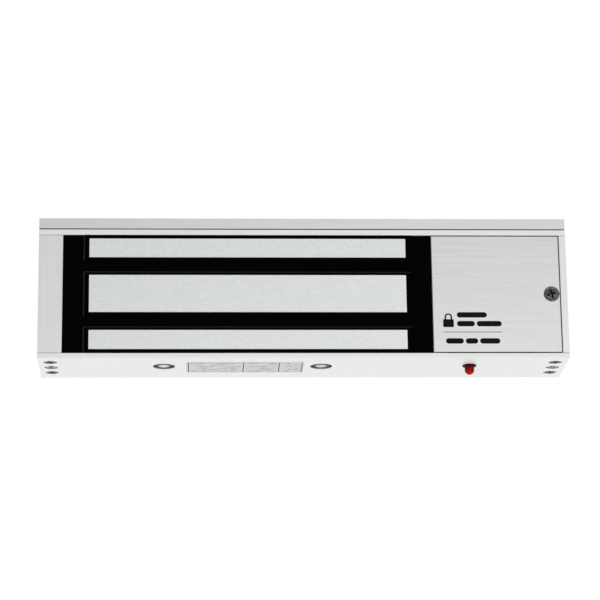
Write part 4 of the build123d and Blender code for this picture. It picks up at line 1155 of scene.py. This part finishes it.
def make_cover_print():
    """A plain padlock sign with rounded bars beside and below it, printed on the cover."""
    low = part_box("cover_plate")[0]
    left = low.x + 0.0047
    base = low.z - 0.0006
    ink = low.y - INK_LIFT
    marks = (
        (0.0072, 0.0224, 0.0185, 0.0213), (0.0072, 0.0162, 0.0139, 0.0167),
        (0.0172, 0.0298, 0.0139, 0.0167), (0.0002, 0.03, 0.0108, 0.0111),
        (0.0014, 0.0104, 0.0049, 0.0077), (0.0114, 0.0176, 0.0049, 0.0077),
        (0.0186, 0.0288, 0.0049, 0.0077),
    )
    outlines = [rounded_bar(left + x0, left + x1, base + z0, base + z1) for x0, x1, z0, z1 in marks]
    body_left, body_right = left + 0.0002, left + 0.0056
    body_low, body_high = base + 0.0135, base + 0.0176
    corner = 0.0005
    body = []
    corners = ((body_right, body_low, -90), (body_right, body_high, 0),
               (body_left, body_high, 90), (body_left, body_low, 180))
    for x, z, start in corners:
        inner_x = x - corner if x == body_right else x + corner
        inner_z = z - corner if z == body_high else z + corner
        for step in range(5):
            angle = radians(start + 90 * step / 4)
            body.append((inner_x + corner * cos(angle), inner_z + corner * sin(angle)))
    outlines.append(body)
    verts, faces = [], []
    for outline in outlines:
        start = len(verts)
        verts += [(x, ink, z) for x, z in outline]
        faces.append(tuple(range(start, start + len(outline))))
    centre_x, shoulder = (body_left + body_right) / 2, body_high + 0.0012
    outer, inner = 0.0019, 0.00115
    steps = 20
    start = len(verts)
    for step in range(steps + 1):
        angle = pi * step / steps
        for radius in (outer, inner):
            verts.append((centre_x + radius * cos(angle), ink, shoulder + radius * sin(angle)))
    for step in range(steps):
        a = start + step * 2
        faces.append((a, a + 2, a + 3, a + 1))
    for x0, x1 in ((centre_x + inner, centre_x + outer), (centre_x - outer, centre_x - inner)):
        start = len(verts)
        verts += [(x0, ink, body_high), (x1, ink, body_high)]
        verts += [(x1, ink, shoulder), (x0, ink, shoulder)]
        faces.append((start, start + 1, start + 2, start + 3))
    piece = new_piece("cover_print", (verts, faces), "ink", "cover")


make_label_print()
make_cover_print()


# ---- room, light and camera

def make_floor():
    """A wide white floor well below the lock."""
    mesh = bpy.data.meshes.new("floor")
    half = FLOOR_SIZE / 2
    mesh.from_pydata([(-half, -half, 0), (half, -half, 0), (half, half, 0), (-half, half, 0)], [],
                     [(0, 1, 2, 3)])
    floor = bpy.data.objects.new("floor", mesh)
    floor.location.z = cad_low.z - FLOOR_DROP
    bpy.context.scene.collection.objects.link(floor)
    surface = Surface("floor_paint", grey(0.9), 0.0, 0.8)
    mesh.materials.append(surface.material)


def make_world():
    """Soft light, dimmer from in front of the lock than from behind. The camera sees white."""
    world = bpy.data.worlds.new("studio")
    bpy.context.scene.world = world
    world.use_nodes = True
    tree = world.node_tree
    background = tree.nodes["Background"]
    direction = add_node(tree, "TexCoord").outputs["Generated"]
    behind = add_node(tree, "VectorMath")
    behind.operation = "DOT_PRODUCT"
    behind.inputs[1].default_value = (0.0, 1.0, 0.0)
    tree.links.new(direction, behind.inputs[0])
    spread = add_node(tree, "MapRange", From_Min=-LIGHT_TURN, From_Max=LIGHT_TURN,
                      To_Min=FRONT_LIGHT, To_Max=BACK_LIGHT)
    spread.interpolation_type = "SMOOTHSTEP"
    tree.links.new(behind.outputs["Value"], spread.inputs["Value"])
    seen = add_node(tree, "Mix", B=1.0)
    path = add_node(tree, "LightPath")
    tree.links.new(path.outputs["Is Camera Ray"], seen.inputs["Factor"])
    tree.links.new(spread.outputs["Result"], seen.inputs["A"])
    tree.links.new(seen.outputs["Result"], background.inputs["Strength"])
    background.inputs["Color"].default_value = (1.0, 1.0, 1.0, 1.0)
    bpy.context.scene.view_settings.view_transform = "Standard"


def make_softbox(name, place, aim, width, height, power):
    """A rectangular soft light, unseen by the camera itself."""
    data = bpy.data.lights.new(name, "AREA")
    data.shape = "RECTANGLE"
    data.size = width
    data.size_y = height
    data.energy = power
    box = bpy.data.objects.new(name, data)
    box.location = place
    box.rotation_euler = (Vector(aim) - Vector(place)).to_track_quat("-Z", "Y").to_euler()
    box.visible_camera = False
    bpy.context.scene.collection.objects.link(box)


def make_camera():
    """The photographer's view: from in front and below, a little to the left."""
    a, e = CAMERA_AZIMUTH, CAMERA_ELEVATION
    back = Vector((sin(a) * cos(e), -cos(a) * cos(e), sin(e)))
    level = (-back).cross(Vector((0, 0, 1))).normalized()
    upright = level.cross(-back)
    right = cos(CAMERA_ROLL) * level + sin(CAMERA_ROLL) * upright
    up = -sin(CAMERA_ROLL) * level + cos(CAMERA_ROLL) * upright
    data = bpy.data.cameras.new("camera")
    data.lens = LENS
    data.sensor_width = SENSOR
    data.clip_end = 50.0
    camera = bpy.data.objects.new("camera", data)
    turned = Matrix((right, up, back)).transposed().to_4x4()
    camera.matrix_world = Matrix.Translation(CAMERA_PLACE) @ turned
    bpy.context.scene.collection.objects.link(camera)
    bpy.context.scene.camera = camera


make_floor()
make_world()
make_softbox("key", (0.5, -1.45, -0.05), (0.5, 0.0, -0.05), 1.6, 0.85, KEY_POWER)
make_softbox("low_fill", (0.1, -0.8, -0.72), (0.0, 0.0, -0.07), 1.2, 0.35, FILL_POWER)
make_softbox("high_front", (-0.2, -1.2, 1.9), (0.0, 0.0, 0.0), 1.4, 0.5, HIGH_POWER)
make_softbox("overhead", (0.0, 0.6, 1.9), (0.0, 0.3, 0.0), 2.6, 2.0, TOP_POWER)
make_camera()
